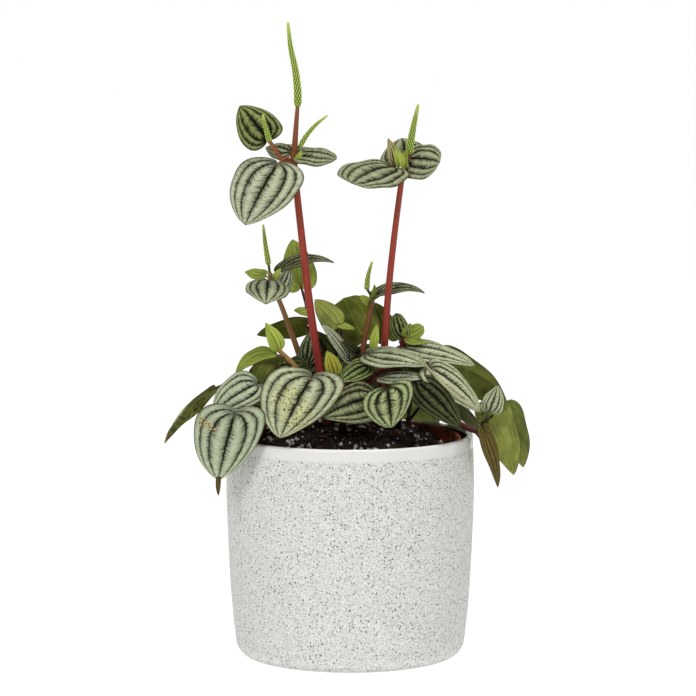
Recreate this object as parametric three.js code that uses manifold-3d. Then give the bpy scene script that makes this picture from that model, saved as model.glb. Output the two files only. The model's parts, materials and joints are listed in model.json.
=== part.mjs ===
// Potted peperomia: a glazed cover pot, the nursery pot in it, the soil, and a rosette of leafy shoots.
// Millimetres, +Z up. The origin is the middle of the cover pot's flat base, and its front is towards -Y.

import * as THREE from 'three';
import Module from 'manifold-3d';
import { mergeVertices } from 'three/addons/utils/BufferGeometryUtils.js';

const wasm = await Module();
wasm.setup();

// Driving dimensions

const CLEARANCE = 0.3;
const COVER_POT = {
  height: 117, wall: 3.2, floor: 5, lipRadius: 1.4, footRadius: 52, segments: 32,
  side: [[60.2, 9], [61.4, 19], [62.7, 34], [63.9, 56], [65, 90], [64.4, 114]],
  sideSteps: 4, cornerSteps: 3, rimSteps: 3,
};
const GROW_POT = {
  height: 109.5, topRadius: 57, baseRadius: 44, wall: 1.1, floor: 1.2, rimWidth: 1, rimHeight: 8,
  tilt: 2, leanAzimuth: -72, drainHoles: 6, drainRadius: 4, drainCircle: 30, segments: 30,
};
const SOIL = {
  depthBelowRim: 3, mound: 9, relief: 1.3, rings: 4, segments: 24,
  holeRise: 26, holeMargin: 0.3, holeSides: 7, holeSteps: 3,
};
const BLADE_THICKNESS = 0.8;
const STALK_RADIUS = 1.1;
const LARGE_BLADE = { rows: 6, columns: 4 };
const SMALL_BLADE = { rows: 5, columns: 2 };
const SMALL_BLADE_WIDTH = 17.5;

// Colours

const COLOURS = {
  glaze: 0xdedbd4, growPot: 0x3a1a10, soil: 0x1d130d,
  crimson: 0xa02d2a, ochre: 0x9a6a34, brownRed: 0x8c4632, spike: 0x84ad34,
  silver: 0xa9b58f, young: 0xa9bf58, olive: 0x6a7d35,
};

// Solids

function closed(positions, triangles) {
  const mesh = new wasm.Mesh({
    numProp: 3,
    vertProperties: Float32Array.from(positions),
    triVerts: Uint32Array.from(triangles),
  });
  return new wasm.Manifold(mesh);
}

function solidOf(geometry) {
  const bare = geometry.clone();
  bare.deleteAttribute('normal');
  bare.deleteAttribute('uv');
  const merged = mergeVertices(bare, 1e-4);
  const index = Array.from(merged.index.array);
  const triangles = [];
  for (let i = 0; i < index.length; i += 3) {
    const [a, b, c] = index.slice(i, i + 3);
    if (a !== b && b !== c && c !== a) {
      triangles.push(a, b, c);
    }
  }
  return closed(merged.attributes.position.array, triangles);
}

function geometryOf(solid) {
  const mesh = solid.getMesh();
  const geometry = new THREE.BufferGeometry();
  geometry.setAttribute('position', new THREE.BufferAttribute(new Float32Array(mesh.vertProperties), 3));
  geometry.setIndex(Array.from(mesh.triVerts));
  geometry.computeVertexNormals();
  return geometry;
}

// One body from many: any loose scrap that the joining leaves is dropped.
function joined(solids) {
  const bodies = solids.reduce((whole, solid) => whole.add(solid)).decompose();
  return bodies.reduce((largest, body) => (body.volume() > largest.volume() ? body : largest));
}

function vector(point) {
  return new THREE.Vector3(...point);
}

// A closed tube along a curve, with its radius given at each step and side.
function sweep(curve, steps, sides, radiusAt) {
  const frames = curve.computeFrenetFrames(steps, false);
  const positions = [];
  for (let step = 0; step <= steps; step += 1) {
    const centre = curve.getPointAt(step / steps);
    for (let side = 0; side < sides; side += 1) {
      const angle = (2 * Math.PI * side) / sides;
      const radius = radiusAt(step / steps, side, step);
      const point = centre.clone();
      point.addScaledVector(frames.normals[step], radius * Math.cos(angle));
      point.addScaledVector(frames.binormals[step], radius * Math.sin(angle));
      positions.push(point.x, point.y, point.z);
    }
  }
  const triangles = [];
  for (let step = 0; step < steps; step += 1) {
    for (let side = 0; side < sides; side += 1) {
      const a = step * sides + side;
      const b = step * sides + ((side + 1) % sides);
      triangles.push(a, b, b + sides, a, b + sides, a + sides);
    }
  }
  const last = steps * sides;
  for (let side = 1; side < sides - 1; side += 1) {
    triangles.push(0, side + 1, side);
    triangles.push(last, last + side, last + side + 1);
  }
  return closed(positions, triangles);
}

function taperedTube(points, startRadius, endRadius, steps = 8, sides = 8) {
  const curve = new THREE.CatmullRomCurve3(points.map(vector));
  return sweep(curve, steps, sides, (t) => startRadius + (endRadius - startRadius) * t);
}

// Blades. Lines of constant k run from the notch (s = 0) to the tip (s = 1), as the main veins do.

const BLADE_SHAPE = { arch: 0.08, cup: 0.1, fold: 0, wave: 0.02, lobe: 1, taper: 0.75, skew: 0, phase: 0 };

function blade(base, tip, width, facing, stalk, shape = {}) {
  return { base, tip, width, facing, stalk, shape: { ...BLADE_SHAPE, ...shape } };
}

function bladeFrame({ base, tip, facing }) {
  const start = vector(base);
  const along = vector(tip).sub(start);
  const length = along.length();
  along.normalize();
  const up = vector(facing).addScaledVector(along, -vector(facing).dot(along)).normalize();
  const across = up.clone().cross(along);
  return { start, along, up, across, length };
}

function outlineAt(s, taper) {
  const widest = 0.5 / (0.5 + taper);
  return (Math.sqrt(s) * (1 - s) ** taper) / (Math.sqrt(widest) * (1 - widest) ** taper);
}

function bladePoint(leaf, frame, s, k) {
  const { arch, cup, fold, wave, lobe, taper, skew, phase } = leaf.shape;
  const outline = outlineAt(s, taper);
  const side = (k * outline * leaf.width) / 2;
  const forward = frame.length * (s - lobe * k * k * Math.sqrt(s) * (1 - s) ** 2) + skew * side;
  const ripple = wave * leaf.width * k * k * outline * Math.sin(2 * Math.PI * (2.2 * s + phase) + 2 * k);
  const height = frame.length * arch * 4 * s * (1 - s)
    - leaf.width * cup * (k * outline) ** 2
    + fold * Math.abs(side)
    + ripple;
  return frame.start.clone()
    .addScaledVector(frame.along, forward)
    .addScaledVector(frame.across, side)
    .addScaledVector(frame.up, height);
}

function bladeSolid(leaf) {
  const frame = bladeFrame(leaf);
  const { rows, columns } = leaf.width < SMALL_BLADE_WIDTH ? SMALL_BLADE : LARGE_BLADE;
  const half = frame.up.clone().multiplyScalar(BLADE_THICKNESS / 2);
  const face = [bladePoint(leaf, frame, 0, 0)];
  for (let row = 1; row < rows; row += 1) {
    const s = (row / rows) ** 1.5;
    for (let column = 0; column <= columns; column += 1) {
      face.push(bladePoint(leaf, frame, s, (2 * column) / columns - 1));
    }
  }
  face.push(bladePoint(leaf, frame, 1, 0));
  const count = face.length;
  const at = (row, column) => 1 + (row - 1) * (columns + 1) + column;
  const upper = [];
  for (let column = 0; column < columns; column += 1) {
    upper.push([0, at(1, column + 1), at(1, column)]);
    for (let row = 1; row < rows - 1; row += 1) {
      upper.push([at(row, column), at(row, column + 1), at(row + 1, column + 1)]);
      upper.push([at(row, column), at(row + 1, column + 1), at(row + 1, column)]);
    }
    upper.push([at(rows - 1, column), at(rows - 1, column + 1), count - 1]);
  }
  const rim = [0];
  for (let row = 1; row < rows; row += 1) {
    rim.push(at(row, columns));
  }
  rim.push(count - 1);
  for (let row = rows - 1; row > 0; row -= 1) {
    rim.push(at(row, 0));
  }
  const triangles = [];
  upper.forEach(([a, b, c]) => {
    triangles.push(a, c, b);
    triangles.push(a + count, b + count, c + count);
  });
  rim.forEach((a, i) => {
    const b = rim[(i + 1) % rim.length];
    triangles.push(a, b, b + count);
    triangles.push(a, b + count, a + count);
  });
  const positions = [];
  face.forEach((point) => positions.push(...point.clone().add(half)));
  face.forEach((point) => positions.push(...point.clone().sub(half)));
  return closed(positions, triangles);
}

// The stalk runs from the stem to the notch and sinks into the blade along its midrib.
function stalkSolid(leaf) {
  const frame = bladeFrame(leaf);
  const { from, via, radius = STALK_RADIUS } = leaf.stalk;
  const sunk = bladePoint(leaf, frame, 0.07, 0).addScaledVector(frame.up, -0.2);
  const points = [vector(from), ...(via ?? []).map(vector), frame.start, sunk];
  const curve = new THREE.CatmullRomCurve3(points, false, 'centripetal');
  const steps = 2 + 2 * (via ?? []).length;
  return sweep(curve, steps, 3, (t) => radius * (1.15 - 0.4 * t));
}

function leafSolids(leaf) {
  return leaf.stalk ? [stalkSolid(leaf), bladeSolid(leaf)] : [bladeSolid(leaf)];
}

// A leaf of the rosette's back: it leaves its shoot at an azimuth and droops outwards.
function rosetteBlade(azimuth, reach, height, droop, length, width, foot) {
  const turn = THREE.MathUtils.degToRad(azimuth);
  const fall = THREE.MathUtils.degToRad(droop);
  const outwards = [Math.cos(turn), Math.sin(turn)];
  const base = [reach * outwards[0], reach * outwards[1], height];
  const run = length * Math.cos(fall);
  const tip = [base[0] + run * outwards[0], base[1] + run * outwards[1], height - length * Math.sin(fall)];
  const facing = [Math.sin(fall) * outwards[0], Math.sin(fall) * outwards[1], Math.cos(fall)];
  const via = [[(foot[0] + base[0]) / 2, (foot[1] + base[1]) / 2, height - 2]];
  return blade(base, tip, width, facing, { from: foot, via }, { phase: azimuth / 90 });
}

// A flower spike: its florets are a relief of small bumps in a spiral.
function spikeSolid(points, radius, steps, sides = 7) {
  const curve = new THREE.CatmullRomCurve3(points.map(vector));
  return sweep(curve, steps, sides, (t, side, step) => {
    const body = radius * (1 - 0.68 * t ** 1.6) * (step === 0 ? 0.75 : 1);
    return body * ((step + side) % 2 === 0 ? 1.08 : 0.9);
  });
}

// Shoots. Each has a stem in the soil and its own leaves; every place is x, y, z, the stalks' too.

const TALL_LEFT = {
  stem: [
    [-9.5, -9, 100], [-12, -9, 122], [-15.5, -8, 149],
    [-20.5, -7, 181], [-26, -5, 228], [-29.2, -4, 257.5],
  ],
  radii: [2.35, 1.75],
  collar: [[-29.2, -4, 257.8], [-29.3, -4, 261], [-29, -4, 264.2]],
  branch: [[-30, -5, 260], [-34.5, -9, 260.5], [-38.3, -11, 265.5], [-41.5, -12.5, 270.3]],
  peduncle: [[-29, -4, 264.5], [-28.2, -4, 276], [-27.2, -4, 288]],
  spike: [[-27.2, -4, 288.3], [-27.2, -4, 296], [-28.3, -4, 306.5], [-30.9, -4, 319.5], [-32.2, -4, 332]],
  branchSpike: [[-41.6, -12.6, 270.6], [-43.5, -13, 277.5], [-45.2, -13, 284.6]],
  sideSpike: [[-26, -4.5, 267.8], [-21.9, -5, 274.3], [-17.3, -5, 279.3], [-11.6, -5, 283.8]],
  leaves: [
    blade([-37, -12, 258], [-54, -22, 226], 37, [-0.25, -1, 0.35],
      { from: [-30, -5, 259], via: [[-33, -9, 262]] }, { skew: -0.1 }),
    blade([-43.5, -8.5, 272], [-57.3, 0, 288.3], 27, [0.1, -1, 0.4], { from: [-40, -11, 268] },
      { phase: 0.3 }),
    blade([-26.5, 0, 263.5], [-7, -3, 261], 24, [0.05, -0.35, 1], { from: [-29, -4, 262] },
      { phase: 0.6 }),
    blade([-31.5, 0, 264.5], [-44, 4, 266.5], 20, [0, -0.4, 1], { from: [-29.3, -3.8, 262] }),
    blade([-28, -6, 260], [-25, -8, 266], 3.4, [0.3, -1, 0.3], { from: [-29, -4.5, 260], radius: 0.7 },
      { fold: 0.4 }),
  ],
};

const TALL_RIGHT = {
  stem: [
    [14, -5, 100], [15.5, -5, 130], [17.9, -5, 163.5],
    [19.9, -5, 192], [22.8, -5, 220], [26.8, -5, 251.5],
  ],
  radii: [2.2, 1.5],
  collar: [[27.2, -5, 252.7], [27.7, -5, 255.2], [28.4, -5, 258.2]],
  peduncle: [[28.7, -5, 259.3], [29.4, -5, 261.5], [30.2, -5, 263.8]],
  spike: [[30.4, -5, 264.1], [31.6, -5, 271.5], [33.4, -5, 281], [35.3, -5, 289.6]],
  leaves: [
    blade([22, -9, 256.5], [-2, -28, 248.5], 33, [-0.1, -0.48, 0.88], { from: [27, -5, 255.5] },
      { phase: 0.2 }),
    blade([31, -1, 260.5], [46.5, -7, 259.5], 24, [0.1, -0.8, 0.65], { from: [28, -5, 257] },
      { phase: 0.5 }),
    blade([29.5, 0, 259.5], [27, 10, 271], 27, [0, -0.75, 0.65], { from: [28, -5, 256.5] }),
    blade([22.5, -6, 256], [20, -6, 271.5], 8, [0.3, -1, 0], { from: [27, -5, 254.5] }, { fold: 0.7, lobe: 0.2 }),
  ],
};

const LEFT_MIDDLE = {
  stem: [
    [-19, 3, 100], [-20.5, 3, 125], [-23, 3, 145],
    [-26.8, 2, 158.3], [-34.9, 0, 181.3], [-41, -3, 197],
  ],
  radii: [2.1, 1.2],
  collar: [[-41.1, -3, 197.3], [-41.3, -3, 198.7], [-41.5, -3, 200.1]],
  peduncle: [[-41.8, -3.1, 201.1], [-42.1, -3, 203], [-42.5, -3, 206.4]],
  spike: [[-42.5, -3, 206], [-44, -3, 215.5], [-45.3, -3, 227]],
  leaves: [
    blade([-42, -8, 198], [-42.5, -27, 186], 24, [0.05, -0.55, 0.83], { from: [-41.3, -3, 198.7] },
      { cup: 0.2 }),
    blade([-45, 0, 200.3], [-55, 2, 201.5], 12, [0, -0.4, 0.92], { from: [-41.3, -3, 198.2], radius: 0.8 }),
    blade([-38, 5, 201], [-8.5, 8, 206], 15, [0.05, -0.3, 1],
      { from: [-41, -2.4, 198.2], radius: 0.9 }, { arch: 0.2, lobe: 0.5 }),
    blade([-36, 1, 193], [-31.5, 0, 204], 10, [0.4, -1, 0.2],
      { from: [-41.2, -2.4, 199], via: [[-38, 1, 197]] }),
    blade([-39.5, -4.5, 199.5], [-36, -5, 204.5], 3, [0.3, -1, 0.3], { from: [-41, -3, 198.8], radius: 0.7 }),
  ],
};

const RIGHT_MIDDLE = {
  stem: [[4, 6, 100], [5, 6, 130], [6.6, 6, 159.6], [9, 6, 173], [11.2, 6, 185]],
  radii: [2, 1.3],
  collar: [[11.2, 6, 185.3], [11.3, 6, 186.6], [11.3, 6, 188]],
  peduncle: [[11.2, 6, 188.4], [10.2, 5.7, 190.2], [8.7, 5, 192.6]],
  spike: [[8.6, 5, 192.2], [9.4, 5, 199.5], [11.5, 5, 207]],
  leaves: [
    blade([14, 7, 188], [39, 8, 190], 15, [0, -0.3, 1], { from: [11.3, 6, 186.6] }, { arch: 0.22 }),
    blade([12.5, 4, 188], [13, 3.5, 196], 4, [0.5, -1, 0], { from: [11.3, 5.6, 186.8], radius: 0.7 }),
    blade([9.2, 2.8, 186], [4.8, 2, 189], 5, [0, -0.8, 0.6], { from: [11.2, 5.6, 186], radius: 0.6 }),
  ],
};

const SHOOTS = [
  {
    name: 'shoot_left_young',
    stem: [[-20, -13, 100], [-23, -13, 138], [-28, -14, 153], [-37, -15, 162.5]],
    radii: [1.7, 1.2],
    colour: COLOURS.young,
    leaves: [
      blade([-37, -15, 162], [-44, -17, 177], 9, [0.3, -1, 0.2], null, { fold: 0.6, lobe: 0.2 }),
      blade([-38, -17, 160], [-59.5, -22, 150], 14, [-0.3, -0.5, 0.9], { from: [-34, -15, 159] },
        { arch: 0.2, lobe: 0.3, fold: 0.3 }),
      blade([-38, -11, 158], [-53, -9, 150], 17, [-0.5, 0.5, 0.8], { from: [-31, -14, 156] }),
      blade([-30, -20, 151], [-39, -24, 151], 10, [0, -0.7, 0.7], { from: [-25, -13.5, 145] }),
      blade([-24.5, -3, 156], [-21.5, -2.5, 168], 8, [-0.3, -0.8, 0.3], { from: [-23, -13, 140] }),
    ],
  },
  {
    name: 'shoot_left_low',
    stem: [[-33, -19, 100], [-34, -20, 125], [-37, -22, 138]],
    radii: [1.8, 1.3],
    colour: COLOURS.silver,
    leaves: [
      blade([-47, -34, 146.5], [-70, -44, 133], 28, [-0.3, -0.75, 0.55], { from: [-37, -22, 136] }),
      blade([-59, -52, 133.5], [-67.5, -46, 99], 35, [-0.35, -0.92, 0.1],
        { from: [-36, -21, 130], via: [[-48, -34, 139]] }),
      blade([-67, -46.4, 102], [-67.5, -46, 91], 3.4, [-0.35, -0.92, 0.1], null, { lobe: 0 }),
      blade([-69, -12, 146], [-96.5, -17, 114], 30, [-0.65, 0.3, 0.7],
        { from: [-37, -21.5, 137], via: [[-52, -15, 151]] }),
    ],
  },
  {
    name: 'shoot_back_upright',
    stem: [[-12, 13, 100], [-14, 13, 140], [-19, 13, 168], [-23, 13, 184]],
    radii: [1.6, 1.2],
    colour: COLOURS.olive,
    leaves: [
      blade([-26, 15, 193.5], [-30.5, 18, 217.5], 20, [0.25, 0.9, 0.35], { from: [-23, 13, 183] }),
      blade([-22.5, 11, 180], [-29.5, 10, 180.5], 8, [0, -0.5, 0.9], { from: [-22, 12.6, 179] }),
      blade([-23.5, 14.5, 172], [-49, 11, 167.5], 20, [0, 0.62, 0.78], { from: [-18.5, 13, 165] }),
    ],
  },
  {
    name: 'shoot_centre',
    stem: [[2, 14, 100], [0, 13, 135], [-2, 12, 152]],
    radii: [1.7, 1.3],
    colour: COLOURS.olive,
    leaves: [
      blade([-6, 11, 172.5], [-18.5, 9, 186.5], 14, [-0.4, 0.8, 0.5], { from: [-2, 12, 150] }),
      blade([-5.5, 10, 173], [2.5, 9.5, 170.5], 6, [0, -0.5, 0.9], { from: [-4.6, 11, 168], radius: 0.8 }),
      blade([9, 18, 168], [-9, 16, 185], 21, [-0.35, 0.75, 0.55],
        { from: [0, 13, 140], via: [[6, 16, 157]] }),
      blade([20, 19, 165], [13, 18, 184], 16, [0.3, 0.8, 0.5],
        { from: [0, 13, 145], via: [[12, 16, 156]] }),
    ],
  },
  {
    name: 'shoot_centre_front',
    stem: [[-3, -3, 100], [-2, -4, 140], [-1, -4, 156]],
    radii: [1.6, 1.2],
    colour: COLOURS.young,
    leaves: [
      blade([-1, -4, 157], [-15.5, -3, 175], 11, [0.6, -0.55, 0.6], null),
      blade([4, -5, 160], [-4.5, -6, 166], 6, [0.3, -0.8, 0.5], { from: [-1.2, -4, 154] }),
      blade([-8, -24, 150], [-12.3, -25, 163.5], 9, [0.2, -1, 0.2],
        { from: [-2, -4, 141], via: [[-5, -15, 143]] }, { fold: 0.7, lobe: 0.2 }),
    ],
  },
  {
    name: 'shoot_front',
    stem: [[-4, -15, 100], [-4, -18, 120], [-4, -26, 133]],
    radii: [1.8, 1.4],
    colour: COLOURS.silver,
    leaves: [
      blade([-20.5, -40, 150.5], [-36.5, -57, 121], 40, [0, -0.82, 0.56],
        { from: [-4, -25, 131], via: [[-11, -31, 148]] }, { skew: -0.12 }),
      blade([12, -36, 140], [-14.5, -48, 131.5], 28, [-0.2, -0.75, 0.6],
        { from: [-4, -22, 126], via: [[6, -30, 138]] }),
      blade([19, -50, 144.5], [21, -57, 125.5], 27, [0.1, -1, 0.35],
        { from: [-4, -25.5, 132], via: [[8, -36, 148]] }),
    ],
  },
  {
    name: 'shoot_right',
    stem: [[3, -11, 100], [2, -13, 125], [2, -18, 142]],
    radii: [1.8, 1.4],
    colour: COLOURS.silver,
    leaves: [
      blade([10.3, -20, 160.8], [39.5, -28, 155.5], 26, [0.1, -0.33, 0.95],
        { from: [2, -18, 141], via: [[6, -18, 154]] }),
      blade([11.5, -14, 163.5], [13.8, -15, 176], 8, [0.1, -1, 0.2],
        { from: [2, -18, 140], via: [[8, -14, 155]] }, { fold: 0.6, lobe: 0.2 }),
      blade([9, -20, 152], [-5.5, -27, 146.5], 15, [-0.2, -0.7, 0.7], { from: [2, -18, 141] }),
      blade([17, -26, 150], [38.5, -31, 149.5], 17, [0.1, -0.35, 0.93],
        { from: [2, -18, 139], via: [[10, -23, 146]] }),
      blade([43.7, -22, 151], [67, -30, 132], 22, [0.45, -0.6, 0.65],
        { from: [2, -18, 141], via: [[5, -22, 147], [24, -24, 153.5], [34, -22, 149.5]] }),
      blade([36, -34, 143], [57.5, -42, 127], 27, [0.25, -0.9, 0.4],
        { from: [2, -16, 136], via: [[20, -29, 134]] }),
    ],
  },
  {
    name: 'shoot_right_back',
    stem: [[25, 6, 100], [26, 6, 140], [26.5, 5, 158], [28, 3, 168]],
    radii: [1.7, 1.2],
    colour: COLOURS.young,
    leaves: [
      blade([29, 4, 162], [65.4, -2, 152.6], 25, [0.12, -0.35, 0.93], { from: [26.5, 5, 158] }),
      blade([27.5, 3, 168], [23.5, 3, 180], 8, [-0.3, -1, 0.2], null, { fold: 0.4, lobe: 0.2 }),
      blade([28.6, 2, 167.5], [32, 1, 176], 6, [0.2, -1, 0.2], null, { fold: 0.5, lobe: 0.2 }),
      blade([29, 2, 167], [38, 1, 174], 8, [-0.2, -1, 0.3], null, { lobe: 0.2 }),
      blade([28.5, 2, 166.5], [40, 0, 164], 8, [0, -0.5, 0.9], null, { lobe: 0.2 }),
    ],
  },
  {
    name: 'shoot_over_right',
    stem: [
      [22, -10, 100], [22, -10, 113], [23, -10, 126], [31, -13, 138], [42, -14, 137], [52, -15, 128],
      [60, -16.5, 122.4], [68, -18, 119.5],
    ],
    radii: [1.9, 1.4],
    stemSteps: 12,
    colour: COLOURS.olive,
    leaves: [
      blade([49, 22, 152.5], [83, 8, 129.5], 24, [0.4, 0.7, 0.6], { from: [30, -13, 138], via: [[38, 4, 146]] },
        { arch: 0.16 }),
      blade([74, -4, 131], [86, -8, 96], 23, [0.55, 0.75, 0.35], { from: [67, -17.5, 120.5], via: [[65, -13, 128]] }),
      blade([81, 10, 136], [91, 6, 98], 27, [0.7, 0.6, 0.35], { from: [57, -15, 125], via: [[66, -2, 137]] }),
      blade([70.5, -10, 131], [77, -12, 142], 12, [0.3, -1, 0.3], { from: [66, -17.2, 120.5], via: [[65, -14, 127]] },
        { fold: 0.5 }),
      blade([69.5, -22, 119], [76.5, -24, 90], 15, [0.85, -0.45, 0.2], { from: [66, -17.5, 120.5] }),
    ],
  },
  {
    name: 'shoot_back_left',
    stem: [[-28, 24, 100], [-28, 24, 122]],
    radii: [1.8, 1.5],
    colour: COLOURS.silver,
    leaves: [
      [160, 44, 143, 35, 32, 30], [143, 42, 147, 38, 34, 31],
      [128, 64, 133, 66, 36, 32], [150, 72, 128, 74, 32, 30],
    ].map((place) => rosetteBlade(...place, [-28, 24, 120])),
  },
  {
    name: 'shoot_back_middle',
    stem: [[3, 36, 100], [3, 36, 122]],
    radii: [1.8, 1.5],
    colour: COLOURS.silver,
    leaves: [
      [101, 42, 146, 34, 33, 31], [78, 44, 140, 45, 32, 29],
      [92, 68, 130, 72, 36, 33], [108, 22, 152, 15, 24, 22],
    ].map((place) => rosetteBlade(...place, [3, 36, 120])),
  },
  {
    name: 'shoot_back_right',
    stem: [[31, 27, 100], [31, 27, 122]],
    radii: [1.8, 1.5],
    colour: COLOURS.silver,
    leaves: [
      [47, 46, 142, 42, 34, 30], [22, 56, 134, 52, 34, 28], [60, 68, 130, 70, 34, 30],
    ].map((place) => rosetteBlade(...place, [31, 27, 120])),
  },
];

// Assembly

const plant = new THREE.Group();

function addPiece(name, solid, colour, roughness = 0.6, metalness = 0) {
  const material = new THREE.MeshStandardMaterial({ color: colour, roughness, metalness });
  const mesh = new THREE.Mesh(geometryOf(solid), material);
  mesh.name = name;
  plant.add(mesh);
}

function shootSolid({ stem, radii, leaves, stemSteps = 4 }) {
  return joined([taperedTube(stem, ...radii, stemSteps, 5), ...leaves.flatMap(leafSolids)]);
}

function addFlowering(name, { stem, radii, collar, branch, leaves }, stemColour, leafColour) {
  const crown = [taperedTube(collar, radii[1] + 0.3, radii[1] + 0.1, 3), ...leaves.flatMap(leafSolids)];
  if (branch) {
    crown.push(taperedTube(branch, 1.3, 1.05, 5, 6));
  }
  addPiece(`stem_${name}`, taperedTube(stem, ...radii, 9), stemColour);
  addPiece(`crown_${name}`, joined(crown), leafColour);
}

// Pots and soil

function latheSolid(outline, segments) {
  const geometry = new THREE.LatheGeometry(outline.map(([x, z]) => new THREE.Vector2(x, z)), segments);
  return solidOf(geometry.rotateX(Math.PI / 2));
}

function arcPoints([x, z], radius, startDegrees, endDegrees, steps) {
  return Array.from({ length: steps + 1 }, (_, step) => {
    const angle = THREE.MathUtils.degToRad(startDegrees + ((endDegrees - startDegrees) * step) / steps);
    return [x + radius * Math.cos(angle), z + radius * Math.sin(angle)];
  });
}

function coverPotSolid() {
  const { height, wall, floor, lipRadius, footRadius, side } = COVER_POT;
  const { sideSteps, cornerSteps, rimSteps, segments } = COVER_POT;
  const curve = new THREE.SplineCurve(side.map(([x, z]) => new THREE.Vector2(x, z)));
  const outside = curve.getPoints(sideSteps).map(({ x, y }) => [x, y]);
  const inside = outside.slice(1, -1).reverse().map(([x, z]) => [x - wall, z]);
  const [cornerRadius, cornerHeight] = side[0];
  const corner = arcPoints([footRadius, cornerHeight], 1, -90, 0, cornerSteps)
    .map(([x, z]) => [footRadius + (x - footRadius) * (cornerRadius - footRadius), cornerHeight
      + (z - cornerHeight) * cornerHeight]);
  const rimRadius = side[side.length - 1][0];
  const rim = [
    ...arcPoints([rimRadius - lipRadius, height - lipRadius], lipRadius, 0, 90, rimSteps),
    ...arcPoints([rimRadius - wall + lipRadius, height - lipRadius], lipRadius, 90, 180, rimSteps),
  ];
  const floorLine = [[footRadius, floor], [0, floor]];
  const outline = [[0, 0], ...corner, ...outside.slice(1, -1), ...rim, ...inside, ...floorLine];
  return latheSolid(outline, segments);
}

function leanMatrix() {
  const { tilt, leanAzimuth, baseRadius } = GROW_POT;
  const lean = THREE.MathUtils.degToRad(leanAzimuth);
  const towards = new THREE.Vector3(Math.cos(lean), Math.sin(lean), 0);
  const axis = new THREE.Vector3(0, 0, 1).cross(towards);
  const angle = THREE.MathUtils.degToRad(tilt);
  const lift = COVER_POT.floor + CLEARANCE + baseRadius * Math.sin(angle);
  return new THREE.Matrix4().makeTranslation(0, 0, lift)
    .multiply(new THREE.Matrix4().makeRotationAxis(axis, angle));
}

function placed(solid, matrix) {
  return solid.transform(matrix.elements);
}

function growPotSolid() {
  const { height, topRadius, baseRadius, wall, floor, rimWidth, rimHeight } = GROW_POT;
  const { drainHoles, drainRadius, drainCircle, segments } = GROW_POT;
  const shoulder = topRadius - rimWidth;
  const outline = [
    [0, 0], [baseRadius, 0], [shoulder, height - rimHeight], [topRadius, height - rimHeight],
    [topRadius, height], [topRadius - wall - rimWidth, height], [baseRadius - wall, floor], [0, floor],
  ];
  let pot = latheSolid(outline, segments);
  for (let hole = 0; hole < drainHoles; hole += 1) {
    const turn = (2 * Math.PI * hole) / drainHoles;
    const drill = new THREE.CylinderGeometry(drainRadius, drainRadius, 4 * floor, 8).rotateX(Math.PI / 2);
    drill.translate(drainCircle * Math.cos(turn), drainCircle * Math.sin(turn), floor / 2);
    pot = pot.subtract(solidOf(drill));
  }
  return placed(pot, leanMatrix());
}

function soilHeight(x, y, share) {
  const { mound, relief } = SOIL;
  const lumps = Math.sin(0.61 * x + 1.3) * Math.cos(0.53 * y - 0.4) + 0.6 * Math.sin(1.17 * x - 0.9 * y);
  return mound * (1 - share ** 2) + relief * lumps;
}

function soilSolid(stems) {
  const { height, topRadius, baseRadius, wall, floor, rimWidth } = GROW_POT;
  const { depthBelowRim, rings, segments } = SOIL;
  const level = height - depthBelowRim;
  const slope = (topRadius - rimWidth - baseRadius) / height;
  const flat = Math.cos(Math.PI / GROW_POT.segments);
  const insideAt = (z) => (baseRadius - wall + slope * z) * flat - CLEARANCE;
  const topEdge = insideAt(level);
  const positions = [0, 0, level + soilHeight(0, 0, 0)];
  for (let ring = 1; ring <= rings; ring += 1) {
    for (let segment = 0; segment < segments; segment += 1) {
      const turn = (2 * Math.PI * (segment + (ring % 2) / 2)) / segments;
      const radius = (topEdge * ring) / rings;
      const [x, y] = [radius * Math.cos(turn), radius * Math.sin(turn)];
      const relief = ring === rings ? 0 : soilHeight(x, y, ring / rings);
      positions.push(x, y, level + relief);
    }
  }
  const bottom = floor + CLEARANCE;
  for (let segment = 0; segment < segments; segment += 1) {
    const turn = (2 * Math.PI * (segment + (rings % 2) / 2)) / segments;
    positions.push(insideAt(bottom) * Math.cos(turn), insideAt(bottom) * Math.sin(turn), bottom);
  }
  positions.push(0, 0, bottom);
  const at = (ring, segment) => 1 + (ring - 1) * segments + (segment % segments);
  const centreBelow = positions.length / 3 - 1;
  const triangles = [];
  for (let segment = 0; segment < segments; segment += 1) {
    triangles.push(0, at(1, segment), at(1, segment + 1));
    for (let ring = 1; ring < rings; ring += 1) {
      const shift = ring % 2;
      triangles.push(at(ring, segment), at(ring + 1, segment + shift), at(ring, segment + 1));
      triangles.push(at(ring, segment + 1 - shift), at(ring + 1, segment), at(ring + 1, segment + 1));
    }
    triangles.push(at(rings, segment), at(rings + 1, segment), at(rings + 1, segment + 1));
    triangles.push(at(rings, segment), at(rings + 1, segment + 1), at(rings, segment + 1));
    triangles.push(at(rings + 1, segment), centreBelow, at(rings + 1, segment + 1));
  }
  const soil = placed(closed(positions, triangles), leanMatrix());
  return stems.reduce((left, { stem, radii }) => left.subtract(stemHole(stem, radii[0])), soil);
}

// A plain hole for a stem: the stem's own line, a little wider, from just below its foot.
function stemHole(stem, radius) {
  const { holeRise, holeMargin, holeSides, holeSteps } = SOIL;
  const curve = new THREE.CatmullRomCurve3(stem.map(vector));
  const [foot, ...rest] = curve.getPoints(48).filter(({ z }) => z < stem[0][2] + holeRise);
  const below = foot.clone().add(new THREE.Vector3(0, 0, -1));
  const path = new THREE.CatmullRomCurve3([below, ...rest]);
  return sweep(path, holeSteps, holeSides, () => radius + CLEARANCE + holeMargin);
}

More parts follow.
